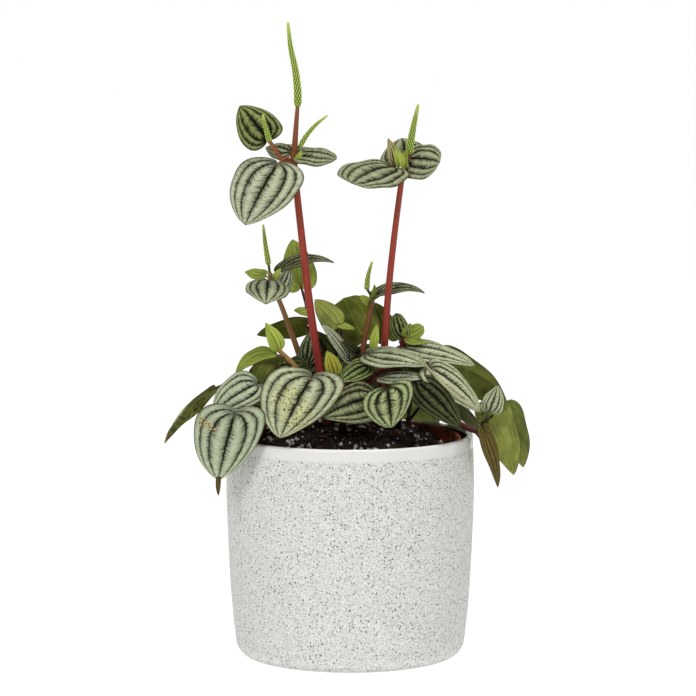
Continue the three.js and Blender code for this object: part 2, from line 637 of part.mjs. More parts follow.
function build() {
  const flowering = [TALL_LEFT, TALL_RIGHT, LEFT_MIDDLE, RIGHT_MIDDLE];
  addPiece('cover_pot', coverPotSolid(), COLOURS.glaze, 0.35);
  addPiece('grow_pot', growPotSolid(), COLOURS.growPot, 0.5);
  addPiece('soil', soilSolid([...flowering, ...SHOOTS]), COLOURS.soil, 0.95);
  addFlowering('tall_left', TALL_LEFT, COLOURS.crimson, COLOURS.silver);
  addFlowering('tall_right', TALL_RIGHT, COLOURS.crimson, COLOURS.silver);
  addFlowering('left_middle', LEFT_MIDDLE, COLOURS.ochre, COLOURS.silver);
  addFlowering('right_middle', RIGHT_MIDDLE, COLOURS.brownRed, COLOURS.young);
  addPiece('peduncle_tall_left', taperedTube(TALL_LEFT.peduncle, 1.65, 1, 4), COLOURS.brownRed);
  addPiece('spike_tall_left', spikeSolid(TALL_LEFT.spike, 2, 22, 7), COLOURS.spike);
  addPiece('spike_tall_left_branch', spikeSolid(TALL_LEFT.branchSpike, 1.45, 8), COLOURS.spike);
  addPiece('spike_tall_left_side', spikeSolid(TALL_LEFT.sideSpike, 1.3, 12), COLOURS.spike);
  addPiece('peduncle_tall_right', taperedTube(TALL_RIGHT.peduncle, 1.3, 1.1, 3), COLOURS.brownRed);
  addPiece('spike_tall_right', spikeSolid(TALL_RIGHT.spike, 1.95, 14), COLOURS.spike);
  [['left_middle', LEFT_MIDDLE], ['right_middle', RIGHT_MIDDLE]].forEach(([name, { peduncle, spike }]) => {
    const solid = joined([taperedTube(peduncle, 0.75, 0.7, 3, 6), spikeSolid(spike, 1.4, 12)]);
    addPiece(`spike_${name}`, solid, COLOURS.spike);
  });
  SHOOTS.forEach((shoot) => addPiece(shoot.name, shootSolid(shoot), shoot.colour));
}

build();

export default plant;
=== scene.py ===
"""Dresses the potted peperomia: quilted leaves, stems, flower spikes, soil and glazed pot.

The tables hold places in millimetres, in the part's own frame. The meshes are in metres.
"""

import json
import logging
import math
import random
from bisect import bisect_right
from collections.abc import Callable, Iterable, Sequence
from dataclasses import dataclass
from enum import Enum

import bmesh
import bpy
from mathutils import Matrix, Vector, noise
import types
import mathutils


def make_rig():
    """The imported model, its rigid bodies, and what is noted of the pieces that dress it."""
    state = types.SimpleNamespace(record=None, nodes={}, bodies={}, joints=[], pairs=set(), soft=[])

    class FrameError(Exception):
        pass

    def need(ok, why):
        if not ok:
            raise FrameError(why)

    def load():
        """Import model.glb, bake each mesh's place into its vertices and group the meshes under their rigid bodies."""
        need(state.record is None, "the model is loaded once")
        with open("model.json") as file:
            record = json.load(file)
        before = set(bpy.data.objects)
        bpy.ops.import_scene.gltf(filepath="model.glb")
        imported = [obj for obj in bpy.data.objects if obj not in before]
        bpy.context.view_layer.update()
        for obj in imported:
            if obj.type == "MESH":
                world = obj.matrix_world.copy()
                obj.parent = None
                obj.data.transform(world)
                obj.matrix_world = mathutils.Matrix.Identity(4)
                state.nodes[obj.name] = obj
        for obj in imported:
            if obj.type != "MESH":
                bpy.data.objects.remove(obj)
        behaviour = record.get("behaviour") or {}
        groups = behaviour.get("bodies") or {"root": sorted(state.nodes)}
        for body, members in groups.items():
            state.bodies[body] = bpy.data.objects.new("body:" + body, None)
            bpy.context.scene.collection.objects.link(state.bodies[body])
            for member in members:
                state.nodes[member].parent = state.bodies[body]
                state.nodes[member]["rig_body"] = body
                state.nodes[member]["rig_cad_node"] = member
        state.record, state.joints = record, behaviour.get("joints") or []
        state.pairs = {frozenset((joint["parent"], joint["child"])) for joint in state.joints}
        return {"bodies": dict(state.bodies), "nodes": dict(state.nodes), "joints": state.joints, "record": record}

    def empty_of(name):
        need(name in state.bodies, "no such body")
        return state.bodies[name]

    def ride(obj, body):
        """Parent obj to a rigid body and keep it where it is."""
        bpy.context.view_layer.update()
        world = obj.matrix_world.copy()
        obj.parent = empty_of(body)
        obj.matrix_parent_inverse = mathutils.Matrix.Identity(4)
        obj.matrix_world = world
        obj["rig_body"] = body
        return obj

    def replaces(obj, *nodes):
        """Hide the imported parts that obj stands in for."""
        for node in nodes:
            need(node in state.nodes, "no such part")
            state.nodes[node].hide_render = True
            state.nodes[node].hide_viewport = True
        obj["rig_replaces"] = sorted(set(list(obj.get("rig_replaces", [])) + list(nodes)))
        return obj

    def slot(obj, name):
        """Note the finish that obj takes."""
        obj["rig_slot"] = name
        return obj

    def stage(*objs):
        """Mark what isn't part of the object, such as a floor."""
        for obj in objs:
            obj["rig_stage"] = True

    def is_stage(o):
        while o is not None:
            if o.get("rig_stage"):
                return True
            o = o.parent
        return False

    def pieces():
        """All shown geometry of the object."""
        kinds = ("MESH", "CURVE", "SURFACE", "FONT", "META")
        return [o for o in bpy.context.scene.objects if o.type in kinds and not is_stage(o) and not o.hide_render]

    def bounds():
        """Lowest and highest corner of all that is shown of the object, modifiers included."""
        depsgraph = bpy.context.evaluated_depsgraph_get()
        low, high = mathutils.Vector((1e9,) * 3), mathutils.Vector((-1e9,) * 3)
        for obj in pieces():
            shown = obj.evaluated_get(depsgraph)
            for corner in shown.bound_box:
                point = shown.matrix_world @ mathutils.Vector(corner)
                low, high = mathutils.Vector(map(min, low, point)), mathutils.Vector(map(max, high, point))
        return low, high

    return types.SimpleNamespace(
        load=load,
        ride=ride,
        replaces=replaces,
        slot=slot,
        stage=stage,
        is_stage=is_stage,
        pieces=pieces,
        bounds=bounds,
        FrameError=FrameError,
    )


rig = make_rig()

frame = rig.load()

LOG = logging.getLogger("peperomia")
MM = 0.001
BODY = "root"
SEED = 7
WHITE = (1.0, 1.0, 1.0, 1.0)
TINY = 1e-6
TO_METRES = Matrix.Scale(MM, 4)

Point = tuple[float, float, float]
Pair = tuple[float, float]
Shade = tuple[int, int, int]
Material = bpy.types.Material
Mesh = bmesh.types.BMesh
Vert = bmesh.types.BMVert
Edge = bmesh.types.BMEdge
Face = bmesh.types.BMFace
Layer = bmesh.types.BMLayerItem


def linear(shade: Shade) -> tuple[float, float, float, float]:
    """Gives a screen colour, 0 to 255 a channel, as a linear colour with full alpha.

    Args:
        shade: Red, green and blue as a screen shows them.

    Returns:
        The four channels that a shader socket or a colour attribute takes.
    """
    channels = [value / 255 for value in shade]
    bent = [c / 12.92 if c <= 0.04045 else ((c + 0.055) / 1.055) ** 2.4 for c in channels]
    return (bent[0], bent[1], bent[2], 1.0)


def blend(first: Shade, second: Shade, share: float) -> Shade:
    """Gives the colour that lies a share of the way from the first to the second."""
    return tuple(round(a + (b - a) * share) for a, b in zip(first, second))


def ease(low: float, high: float, value: float) -> float:
    """Gives 0 below low and 1 above high, with a smooth rise between them."""
    share = min(max((value - low) / (high - low), 0.0), 1.0)
    return share * share * (3 - 2 * share)


# Shader expressions


class Signal:
    """A shader socket that can stand in an expression with numbers and other sockets."""

    def __init__(self, shader: "Shader", socket: bpy.types.NodeSocket) -> None:
        """Keeps the socket and the shader that its expressions add nodes to."""
        self.shader = shader
        self.socket = socket

    def __add__(self, other: "Operand") -> "Signal":
        """Gives the sum."""
        return self.shader.math("ADD", self, other)

    def __radd__(self, other: "Operand") -> "Signal":
        """Gives the sum with a number on the left."""
        return self.shader.math("ADD", other, self)

    def __sub__(self, other: "Operand") -> "Signal":
        """Gives the difference."""
        return self.shader.math("SUBTRACT", self, other)

    def __rsub__(self, other: "Operand") -> "Signal":
        """Gives the difference from a number on the left."""
        return self.shader.math("SUBTRACT", other, self)

    def __mul__(self, other: "Operand") -> "Signal":
        """Gives the product."""
        return self.shader.math("MULTIPLY", self, other)

    def __rmul__(self, other: "Operand") -> "Signal":
        """Gives the product with a number on the left."""
        return self.shader.math("MULTIPLY", other, self)

    def __truediv__(self, other: "Operand") -> "Signal":
        """Gives the quotient."""
        return self.shader.math("DIVIDE", self, other)

    def __abs__(self) -> "Signal":
        """Gives the absolute value."""
        return self.shader.math("ABSOLUTE", self)

    def __round__(self) -> "Signal":
        """Gives the nearest whole number."""
        return self.shader.math("ROUND", self)

    def at_least(self, other: "Operand") -> "Signal":
        """Gives the greater of the two."""
        return self.shader.math("MAXIMUM", self, other)

    def rise(self, low: "Operand", high: "Operand") -> "Signal":
        """Gives a smooth rise from 0 to 1.

        Args:
            low: The value up to which it stays 0.
            high: The value from which it is 1.

        Returns:
            The rise.
        """
        settings = {"interpolation_type": "SMOOTHSTEP"}
        ends = {"Value": self, "From Min": low, "From Max": high}
        return self.shader.signal("ShaderNodeMapRange", settings, ends, "Result")

    def fall(self, low: "Operand", high: "Operand") -> "Signal":
        """Gives a smooth fall from 1 at the low value to 0 at the high one."""
        return 1 - self.rise(low, high)

    def line(self, start: float, slope: float) -> "Signal":
        """Gives the start where this is 0, and the slope more for each 1 of it."""
        return start + slope * self


Operand = Signal | float


@dataclass(frozen=True)
class Dots:
    """A scatter of round dots: its scale, soft edge, rarity and strength."""

    scale: float
    edge: Pair
    chance: Pair
    strength: float = 1.0


class Shader:
    """A material's node tree, which ends in one Principled shader."""

    def __init__(self, name: str) -> None:
        """Starts a material.

        Args:
            name: The material's name.
        """
        self.material = bpy.data.materials.new(name)
        self.material.use_nodes = True
        self.tree = self.material.node_tree
        self.surface = next(node for node in self.tree.nodes if node.type == "BSDF_PRINCIPLED")

    def node(
        self, kind: str, settings: dict | None = None, inputs: dict | None = None,
    ) -> bpy.types.Node:
        """Adds a node.

        Args:
            kind: Blender's name of the node's type.
            settings: Attributes to set first, such as a Math node's operation.
            inputs: Values or signals by the socket's name or number.

        Returns:
            The node.
        """
        node = self.tree.nodes.new(kind)
        for name, value in (settings or {}).items():
            setattr(node, name, value)
        for name, value in (inputs or {}).items():
            self.feed(node.inputs[name], value)
        return node

    def feed(self, socket: bpy.types.NodeSocket, value: object) -> None:
        """Links a signal to a socket, or sets the socket's own value.

        Args:
            socket: The socket.
            value: A signal, or the value to set.
        """
        if isinstance(value, Signal):
            self.tree.links.new(value.socket, socket)
        else:
            socket.default_value = value

    def signal(
        self,
        kind: str,
        settings: dict | None = None,
        inputs: dict | None = None,
        output: str | int = 0,
    ) -> Signal:
        """Adds a node and gives one of its outputs."""
        return Signal(self, self.node(kind, settings, inputs).outputs[output])

    def math(self, operation: str, *operands: Operand) -> Signal:
        """Adds a Math node and gives its result."""
        return self.signal("ShaderNodeMath", {"operation": operation}, dict(enumerate(operands)))

    def mix(self, share: Operand, first: object, second: object, method: str = "MIX") -> Signal:
        """Mixes two colours.

        Args:
            share: How much of the second colour there is, from 0 to 1.
            first: A colour, as a signal or four channels.
            second: The other colour.
            method: Blender's name of the way to mix them.

        Returns:
            The mixed colour.
        """
        settings = {"data_type": "RGBA", "blend_type": method}
        return self.signal("ShaderNodeMix", settings, {0: share, 6: first, 7: second}, 2)

    def shaded(self, colour: object, brightness: Operand) -> Signal:
        """Multiplies a colour by a brightness."""
        return self.mix(1.0, colour, brightness, "MULTIPLY")

    def attribute(self, name: str, output: str = "Fac") -> Signal:
        """Reads one of the mesh's own attributes."""
        return self.signal("ShaderNodeAttribute", {"attribute_name": name}, output=output)

    def parts(self, vector: Signal) -> tuple[Signal, Signal, Signal]:
        """Splits a vector into its three numbers."""
        node = self.node("ShaderNodeSeparateXYZ", inputs={0: vector})
        return tuple(Signal(self, output) for output in node.outputs)

    def joined(self, x: Operand, y: Operand, z: Operand = 0.0) -> Signal:
        """Joins three numbers into a vector."""
        return self.signal("ShaderNodeCombineXYZ", inputs={0: x, 1: y, 2: z})

    def layout(self, name: str) -> tuple[Signal, Signal]:
        """Reads one of the mesh's UV maps as two numbers."""
        return self.parts(self.signal("ShaderNodeUVMap", {"uv_map": name}))[:2]

    def place(self, scale: Point = (1.0, 1.0, 1.0)) -> Signal:
        """Gives the place on the object.

        Args:
            scale: What each axis is multiplied by.

        Returns:
            The place, in scaled millimetres.
        """
        metres = self.signal("ShaderNodeTexCoord", output="Object")
        inputs = {0: metres, 1: tuple(share / MM for share in scale)}
        return self.signal("ShaderNodeVectorMath", {"operation": "MULTIPLY"}, inputs)

    def clouds(
        self, place: Signal, scale: float, detail: float = 2.0, roughness: float = 0.5,
    ) -> Signal:
        """Gives soft noise around 0.5."""
        inputs = {"Vector": place, "Scale": scale, "Detail": detail, "Roughness": roughness}
        return self.signal("ShaderNodeTexNoise", inputs=inputs)

    def dots(self, place: Signal, dots: Dots) -> Signal:
        """Scatters dots.

        Args:
            place: Where the pattern is read.
            dots: What they are like.

        Returns:
            Their strength in a dot, and 0 outside it.
        """
        node = self.node("ShaderNodeTexVoronoi", inputs={"Vector": place, "Scale": dots.scale})
        distance = Signal(self, node.outputs["Distance"])
        number, _, _ = self.parts(Signal(self, node.outputs["Color"]))
        return distance.fall(*dots.edge) * number.rise(*dots.chance) * dots.strength

    def relief(self, height: Operand, strength: float, depth: float) -> Signal:
        """Gives the normals of a bumpy surface.

        Args:
            height: The surface's height, around 0 to 1.
            strength: How strongly it shows, from 0 to 1.
            depth: The height of 1 in millimetres.

        Returns:
            The bent normals.
        """
        inputs = {"Strength": strength, "Distance": depth * MM, "Height": height}
        return self.signal("ShaderNodeBump", inputs=inputs)

    def finish(self, **sockets: object) -> Material:
        """Sets the Principled shader's sockets.

        Args:
            **sockets: Values or signals by the socket's name, with _ for a space.

        Returns:
            The material.
        """
        for name, value in sockets.items():
            self.feed(self.surface.inputs[name.replace("_", " ")], value)
        return self.material


# Finishes. Sizes are in millimetres, and a scale is in patches a millimetre. A pair is the low
# and high end of a smooth rise or fall, or the start and slope of a line.


@dataclass(frozen=True)
class LeafUpper:
    """The upper face: pale between the veins, with dark feathers that spread from each vein, and a darker halo beside
    it that is partly painted shade.
    """

    margin: Shade = (72, 66, 44)
    scar: Shade = (184, 172, 130)
    burn: Shade = (62, 46, 24)
    speck: Shade = (22, 20, 10)
    bleach: Shade = (206, 202, 132)
    vein_bend: float = 0.2
    vein_width: Pair = (0.2, 0.056)
    vein_edge: Pair = (0.45, 1.5)
    weight_by_rank: Pair = (1.14, -0.24)
    weight_by_share: Pair = (1.36, -0.74)
    core_by_rank: Pair = (1.06, -0.12)
    core_by_share: Pair = (1.12, -0.3)
    streaked: Pair = (0.42, 0.7)
    feather_reach: Pair = (0.07, 0.5)
    feather_edge: Pair = (0.45, 1.0)
    feather_strength: float = 0.92
    tie_width: float = 0.02
    tie_strength: float = 0.5
    throat_share: float = 0.16
    throat_strength: float = 0.75
    # The halo beside the veins is partly the leaf's own colour and partly painted shade.
    halo_by_share: Pair = (0.62, -0.24)
    hatched: Pair = (0.48, 0.68)
    hatch_strength: float = 0.42
    margin_ranks: Pair = (2.82, 2.97)
    margin_strength: float = 0.85
    bleach_strength: float = 0.45
    grain_scale: float = 1.1
    grain_tint: Pair = (0.92, 0.34)
    patch_scale: float = 0.22
    patch_tint: Pair = (0.88, 0.24)
    specked: Pair = (0.15, 0.6)
    specks: Dots = Dots(0.75, (0.2, 0.42), (0.2, 0.3))
    roughness: float = 0.34
    gloss: float = 0.05
    relief: float = 0.5

    def _veins(self, shader: Shader, rank: Signal, share: Signal) -> tuple[Signal, Signal, Signal]:
        """Draws the veins, their feathers and the dark web between them.

        Args:
            shader: The material's nodes.
            rank: The place across the blade, 0 on the midrib and 3 at the margin.
            share: The place along it, 0 at the notch and 1 at the tip.

        Returns:
            How dark the face is, and the cores of the veins and their feathers alone.
        """
        _, along = shader.layout("cells")
        wobble = shader.clouds(shader.joined(along * 0.3, rank * 0.5, 9.0), 1.0, 1.0) - 0.5
        bent = abs(rank + self.vein_bend * wobble)
        order = round(bent)
        gap = abs(bent - order)
        spread = shader.attribute("spread")
        weight = order.line(*self.weight_by_rank) * share.line(*self.weight_by_share)
        feather = shader.attribute("feather")
        distance = gap * spread
        width = spread.line(*self.vein_width) * weight * feather.at_least(0.5)
        core = (distance / width).fall(*self.vein_edge)
        core = core * order.line(*self.core_by_rank) * share.line(*self.core_by_share)
        flow = shader.joined(along * 1.5 - distance * 0.8, rank * 0.7)
        streaks = shader.clouds(flow, 1.0, 2.5, 0.62).rise(*self.streaked)
        reach = streaks.line(*self.feather_reach) * weight * feather
        feathers = (gap / reach.at_least(0.001)).fall(*self.feather_edge)
        ties = abs(shader.clouds(shader.joined(along * 0.4, rank * 0.6, 3.0), 1.0, 1.0) - 0.5)
        tied = ties.fall(0.0, self.tie_width) * self.tie_strength * feather
        throat = share.fall(0.0, self.throat_share) * self.throat_strength * feather
        # Darker ground beside each vein: partly the leaf's own colour, partly painted shade in the sunken veins.
        halo = gap.fall(0.0, 0.5) * share.line(*self.halo_by_share) * feather
        cross = shader.joined(along * 2.6 - distance * 1.2, rank * 0.5, 5.0)
        hatching = shader.clouds(cross, 1.0, 2.0, 0.55).rise(*self.hatched)
        dark = core.at_least(feathers * self.feather_strength).at_least(tied).at_least(throat)
        dark = dark.at_least(halo + hatching * self.hatch_strength * feather)
        return dark, core, feathers

    def material(self) -> Material:
        """Builds the material.

        Returns:
            The material.
        """
        shader = Shader("leaf_upper")
        rank, share = shader.layout("veins")
        dark, core, feathers = self._veins(shader, rank, share)
        place = shader.place()
        grain = shader.clouds(place, self.grain_scale, 4.0, 0.6)
        patches = shader.clouds(place, self.patch_scale, 2.0)
        brightness = grain.line(*self.grain_tint) * patches.line(*self.patch_tint)
        ground = shader.shaded(shader.attribute("ground", "Color"), brightness)
        colour = shader.mix(dark, ground, shader.attribute("vein", "Color"))
        edge = abs(rank).rise(*self.margin_ranks)
        colour = shader.mix(edge * self.margin_strength, colour, linear(self.margin))
        torn = shader.clouds(place, 0.8, 4.0, 0.65)
        scar = (shader.attribute("scar") + 0.7 * (torn - 0.5)).rise(0.3, 0.5)
        burnt = shader.mix(torn.rise(0.4, 0.54), linear(self.burn), linear(self.scar))
        colour = shader.mix(scar, colour, burnt)
        marked = shader.attribute("specks")
        bleached = marked * (1 - dark) * self.bleach_strength
        colour = shader.mix(bleached, colour, linear(self.bleach))
        specks = marked.rise(*self.specked) * shader.dots(place, self.specks)
        return shader.finish(
            Base_Color=shader.mix(specks, colour, linear(self.speck)),
            Roughness=self.roughness + 0.2 * dark + 0.2 * scar,
            Normal=shader.relief(0.5 * grain - 0.6 * core - 0.35 * feathers, 0.7, self.relief),
            Specular_IOR_Level=self.gloss,
        )


@dataclass(frozen=True)
class LeafUnder:
    """The underside: plain green, its ribs raised and paler at their crests, with painted shade beside them."""

    crest: float = 1.5
    # Brightness of the painted shade beside the ribs.
    groove_shade: float = 0.94
    scar: Shade = (112, 78, 44)
    speck: Shade = (46, 34, 16)
    rib_edge: Pair = (0.1, 0.42)
    rib_by_rank: Pair = (1.0, -0.35)
    groove_start: Pair = (0.3, 0.7)
    groove_end: Pair = (0.9, 2.2)
    grain_scale: float = 0.9
    grain_tint: Pair = (0.84, 0.32)
    patch_scale: float = 0.12
    patch_tint: Pair = (0.7, 0.56)
    blot_scale: float = 0.55
    blot_strength: float = 0.8
    roughness: Pair = (0.46, 0.1)
    gloss: float = 0.16
    relief: float = 0.4

    def material(self) -> Material:
        """Builds the material.

        Returns:
            The material.
        """
        shader = Shader("leaf_under")
        rank, _ = shader.layout("veins")
        order = round(abs(rank))
        distance = abs(abs(rank) - order) * shader.attribute("spread")
        rib = distance.fall(*self.rib_edge) * order.line(*self.rib_by_rank).at_least(0.1)
        # Painted shade in the grooves beside the ribs.
        groove = distance.rise(*self.groove_start) * distance.fall(*self.groove_end)
        place = shader.place()
        grain = shader.clouds(place, self.grain_scale, 4.0, 0.6)
        patches = shader.clouds(place, self.patch_scale, 2.0).rise(0.3, 0.68)
        brightness = grain.line(*self.grain_tint) * patches.line(*self.patch_tint)
        brightness = brightness * rib.line(1, self.crest - 1) * groove.line(1, self.groove_shade - 1)
        colour = shader.shaded(shader.attribute("under", "Color"), brightness)
        scar = shader.attribute("scar") * grain.rise(0.35, 0.55)
        colour = shader.mix(scar, colour, linear(self.scar))
        blots = shader.clouds(place, self.blot_scale, 3.0, 0.6).rise(0.5, 0.57)
        blots = blots * shader.attribute("specks") * self.blot_strength
        return shader.finish(
            Base_Color=shader.mix(blots, colour, linear(self.speck)),
            Roughness=grain.line(*self.roughness),
            Normal=shader.relief(rib + 0.3 * grain, 0.5, self.relief),
            Specular_IOR_Level=self.gloss,
        )


@dataclass(frozen=True)
class StemSkin:
    """Fleshy skin of stems and stalks: the tube's own colour, with long streaks and fine flecks, darkened low down
    near the soil as painted shade.
    """

    fleck: Shade = (214, 150, 130)
    # Painted shade: stems and stalks darken below these heights, in millimetres, towards the soil.
    soil_shade: Pair = (118.0, 146.0)
    soil_shade_tint: Pair = (0.2, 0.8)
    streak_stretch: Point = (1.0, 1.0, 0.09)
    streak_scale: float = 1.5
    streak_tint: Pair = (0.62, 0.76)
    grain_scale: float = 2.6
    grain_tint: Pair = (0.86, 0.28)
    fleck_stretch: Point = (1.0, 1.0, 0.5)
    flecks: Dots = Dots(1.1, (0.08, 0.24), (0.6, 0.7), 0.35)
    roughness: Pair = (0.36, 0.2)
    gloss: float = 0.3
    relief: float = 0.25

    def material(self) -> Material:
        """Builds the material.

        Returns:
            The material.
        """
        shader = Shader("stem_skin")
        place = shader.place()
        streaks = shader.clouds(shader.place(self.streak_stretch), self.streak_scale, 3.0, 0.6)
        grain = shader.clouds(place, self.grain_scale, 3.0)
        _, _, height = shader.parts(place)
        brightness = streaks.line(*self.streak_tint) * grain.line(*self.grain_tint)
        # Painted shade near the soil.
        brightness = brightness * height.rise(*self.soil_shade).line(*self.soil_shade_tint)
        colour = shader.shaded(shader.attribute("skin", "Color"), brightness)
        flecks = shader.dots(shader.place(self.fleck_stretch), self.flecks)
        return shader.finish(
            Base_Color=shader.mix(flecks, colour, linear(self.fleck)),
            Roughness=grain.line(*self.roughness),
            Normal=shader.relief(streaks + 0.4 * grain, 0.35, self.relief),
            Specular_IOR_Level=self.gloss,
        )


@dataclass(frozen=True)
class SpikeSkin:
    """A flower spike: bright at its florets, with painted shade in the hollows between them."""

    # The hollow colour is painted shade between the florets.
    hollow: Shade = (66, 88, 16)
    floret: Shade = (208, 230, 106)
    tip: Shade = (204, 226, 112)
    floret_edge: Pair = (0.0, 0.7)
    tip_edge: Pair = (0.7, 1.0)
    tip_strength: float = 0.6
    grain_scale: float = 1.8
    grain_tint: Pair = (0.72, 0.56)
    roughness: Pair = (0.5, 0.15)
    gloss: float = 0.35
    relief: float = 0.2

    def material(self) -> Material:
        """Builds the material.

        Returns:
            The material.
        """
        shader = Shader("spike_skin")
        bump = shader.attribute("floret")
        grain = shader.clouds(shader.place(), self.grain_scale, 3.0)
        raised = bump.rise(*self.floret_edge)
        # Painted shade in the hollows between the florets.
        colour = shader.mix(raised, linear(self.hollow), linear(self.floret))
        tip = shader.attribute("along").rise(*self.tip_edge)
        colour = shader.mix(tip * self.tip_strength, colour, linear(self.tip))
        return shader.finish(
            Base_Color=shader.shaded(colour, grain.line(*self.grain_tint)),
            Roughness=grain.line(*self.roughness),
            Normal=shader.relief(bump + 0.3 * grain, 0.4, self.relief),
            Specular_IOR_Level=self.gloss,
        )


@dataclass(frozen=True)
class Glaze:
    """Off-white glaze: sandy and speckled on the body, glossy in a band under the rim, with a painted contact shadow
    darkening the foot.
    """

    body: Shade = (234, 233, 229)
    band: Shade = (232, 232, 229)
    sand: Shade = (164, 160, 152)
    speckles: tuple[tuple[Shade, Dots], ...] = (
        ((128, 118, 106), Dots(1.1, (0.2, 0.36), (0.45, 0.55), 0.62)),
        ((92, 88, 82), Dots(0.8, (0.19, 0.31), (0.45, 0.53), 0.9)),
        ((20, 19, 18), Dots(0.5, (0.17, 0.22), (0.46, 0.5))),
    )
    band_edge: Pair = (109.4, 111.4)
    band_wander: float = 2.4
    sand_scale: float = 1.5
    sanded: Pair = (0.46, 0.66)
    sand_strength: float = 0.4
    pits: Dots = Dots(1.25, (0.12, 0.4), (0.3, 0.7))
    pit_strength: float = 0.35
    mottle_scale: float = 0.3
    mottle_tint: Pair = (0.97, 0.08)
    texture_scale: float = 1.2
    texture_strength: float = 1.6
    # Painted contact shadow: the glaze darkens towards the pot's foot, between these heights in millimetres.
    contact_shadow_edge: Pair = (-0.5, 4.5)
    contact_shadow_tint: Pair = (0.7, 0.3)
    roughness: Pair = (0.24, 0.32)
    coat: float = 0.3
    coat_roughness: float = 0.2
    gloss: float = 0.25
    relief: float = 0.4

    def material(self) -> Material:
        """Builds the material.

        Returns:
            The material.
        """
        shader = Shader("speckled_glaze")
        place = shader.place()
        _, _, height = shader.parts(place)
        edge = shader.clouds(place, 0.35, 2.0)
        level = height + self.band_wander * edge - self.band_wander / 2
        smooth = level.rise(*self.band_edge)
        rough = 1 - smooth
        sand = shader.clouds(place, self.sand_scale, 3.0, 0.7)
        pitted = shader.dots(place, self.pits)
        colour = shader.mix(smooth, linear(self.body), linear(self.band))
        grey = sand.rise(*self.sanded) * self.sand_strength + pitted * self.pit_strength
        colour = shader.mix(grey * rough, colour, linear(self.sand))
        for shade, dots in self.speckles:
            colour = shader.mix(shader.dots(place, dots) * rough, colour, linear(shade))
        mottle = shader.clouds(place, self.mottle_scale, 2.0).line(*self.mottle_tint)
        texture = shader.clouds(place, self.texture_scale, 3.0, 0.75) - 0.5
        colour = shader.shaded(colour, mottle + self.texture_strength * texture * rough)
        # Painted contact shadow at the foot.
        foot = height.rise(*self.contact_shadow_edge).line(*self.contact_shadow_tint)
        return shader.finish(
            Base_Color=shader.shaded(colour, foot),
            Roughness=rough.line(*self.roughness),
            Coat_Weight=self.coat * smooth,
            Coat_Roughness=self.coat_roughness,
            Specular_IOR_Level=self.gloss,
            Normal=shader.relief((sand - 0.6 * pitted) * rough, 0.7, self.relief),
        )


@dataclass(frozen=True)
class GrowPotPlastic:
    """Thin red-brown plastic, scuffed, with dry soil on it."""

    plastic: Shade = (164, 78, 42)
    dusty: Shade = (84, 44, 26)
    dust_scale: float = 0.14
    dusted: Pair = (0.4, 0.62)
    scuff_stretch: Point = (1.0, 1.0, 0.2)
    scuff_scale: float = 0.9
    scuff_tint: Pair = (0.8, 0.4)
    roughness: Pair = (0.4, 0.3)
    relief: float = 0.2

    def material(self) -> Material:
        """Builds the material.

        Returns:
            The material.
        """
        shader = Shader("grow_pot_plastic")
        dust = shader.clouds(shader.place(), self.dust_scale, 5.0, 0.65)
        scuffs = shader.clouds(shader.place(self.scuff_stretch), self.scuff_scale, 3.0)
        colour = shader.mix(dust.rise(*self.dusted), linear(self.plastic), linear(self.dusty))
        return shader.finish(
            Base_Color=shader.shaded(colour, scuffs.line(*self.scuff_tint)),
            Roughness=dust.line(*self.roughness),
            Normal=shader.relief(scuffs, 0.25, self.relief),
        )


@dataclass(frozen=True)
class Ground:
    """A crumbly stuff in two colours, such as soil, bark or perlite."""

    name: str
    dark: Shade
    light: Shade
    scale: float
    roughness: float = 0.9
    relief: float = 0.5
    gloss: float = 0.3
    lightened: Pair = (0.38, 0.66)
    grain_tint: Pair = (0.6, 0.8)

    def material(self) -> Material:
        """Builds the material.

        Returns:
            The material.
        """
        shader = Shader(self.name)
        lumps = shader.clouds(shader.place(), self.scale, 5.0, 0.65)
        grain = shader.clouds(shader.place(), self.scale * 5, 3.0)
        colour = shader.mix(lumps.rise(*self.lightened), linear(self.dark), linear(self.light))
        return shader.finish(
            Base_Color=shader.shaded(colour, grain.line(*self.grain_tint)),
            Roughness=self.roughness,
            Normal=shader.relief(lumps + grain, 0.7, self.relief),
            Specular_IOR_Level=self.gloss,
        )


@dataclass(frozen=True)
class FloorPaint:
    """A plain pale floor."""

    paint: Shade = (110, 110, 110)
    glow: float = 0.97
    roughness: float = 0.9

    def material(self) -> Material:
        """Builds the material.

        Returns:
            The material.
        """
        return Shader("pale_floor").finish(
            Base_Color=linear(self.paint),
            Roughness=self.roughness,
            Emission_Color=WHITE,
            Emission_Strength=self.glow,
        )


# Mesh making


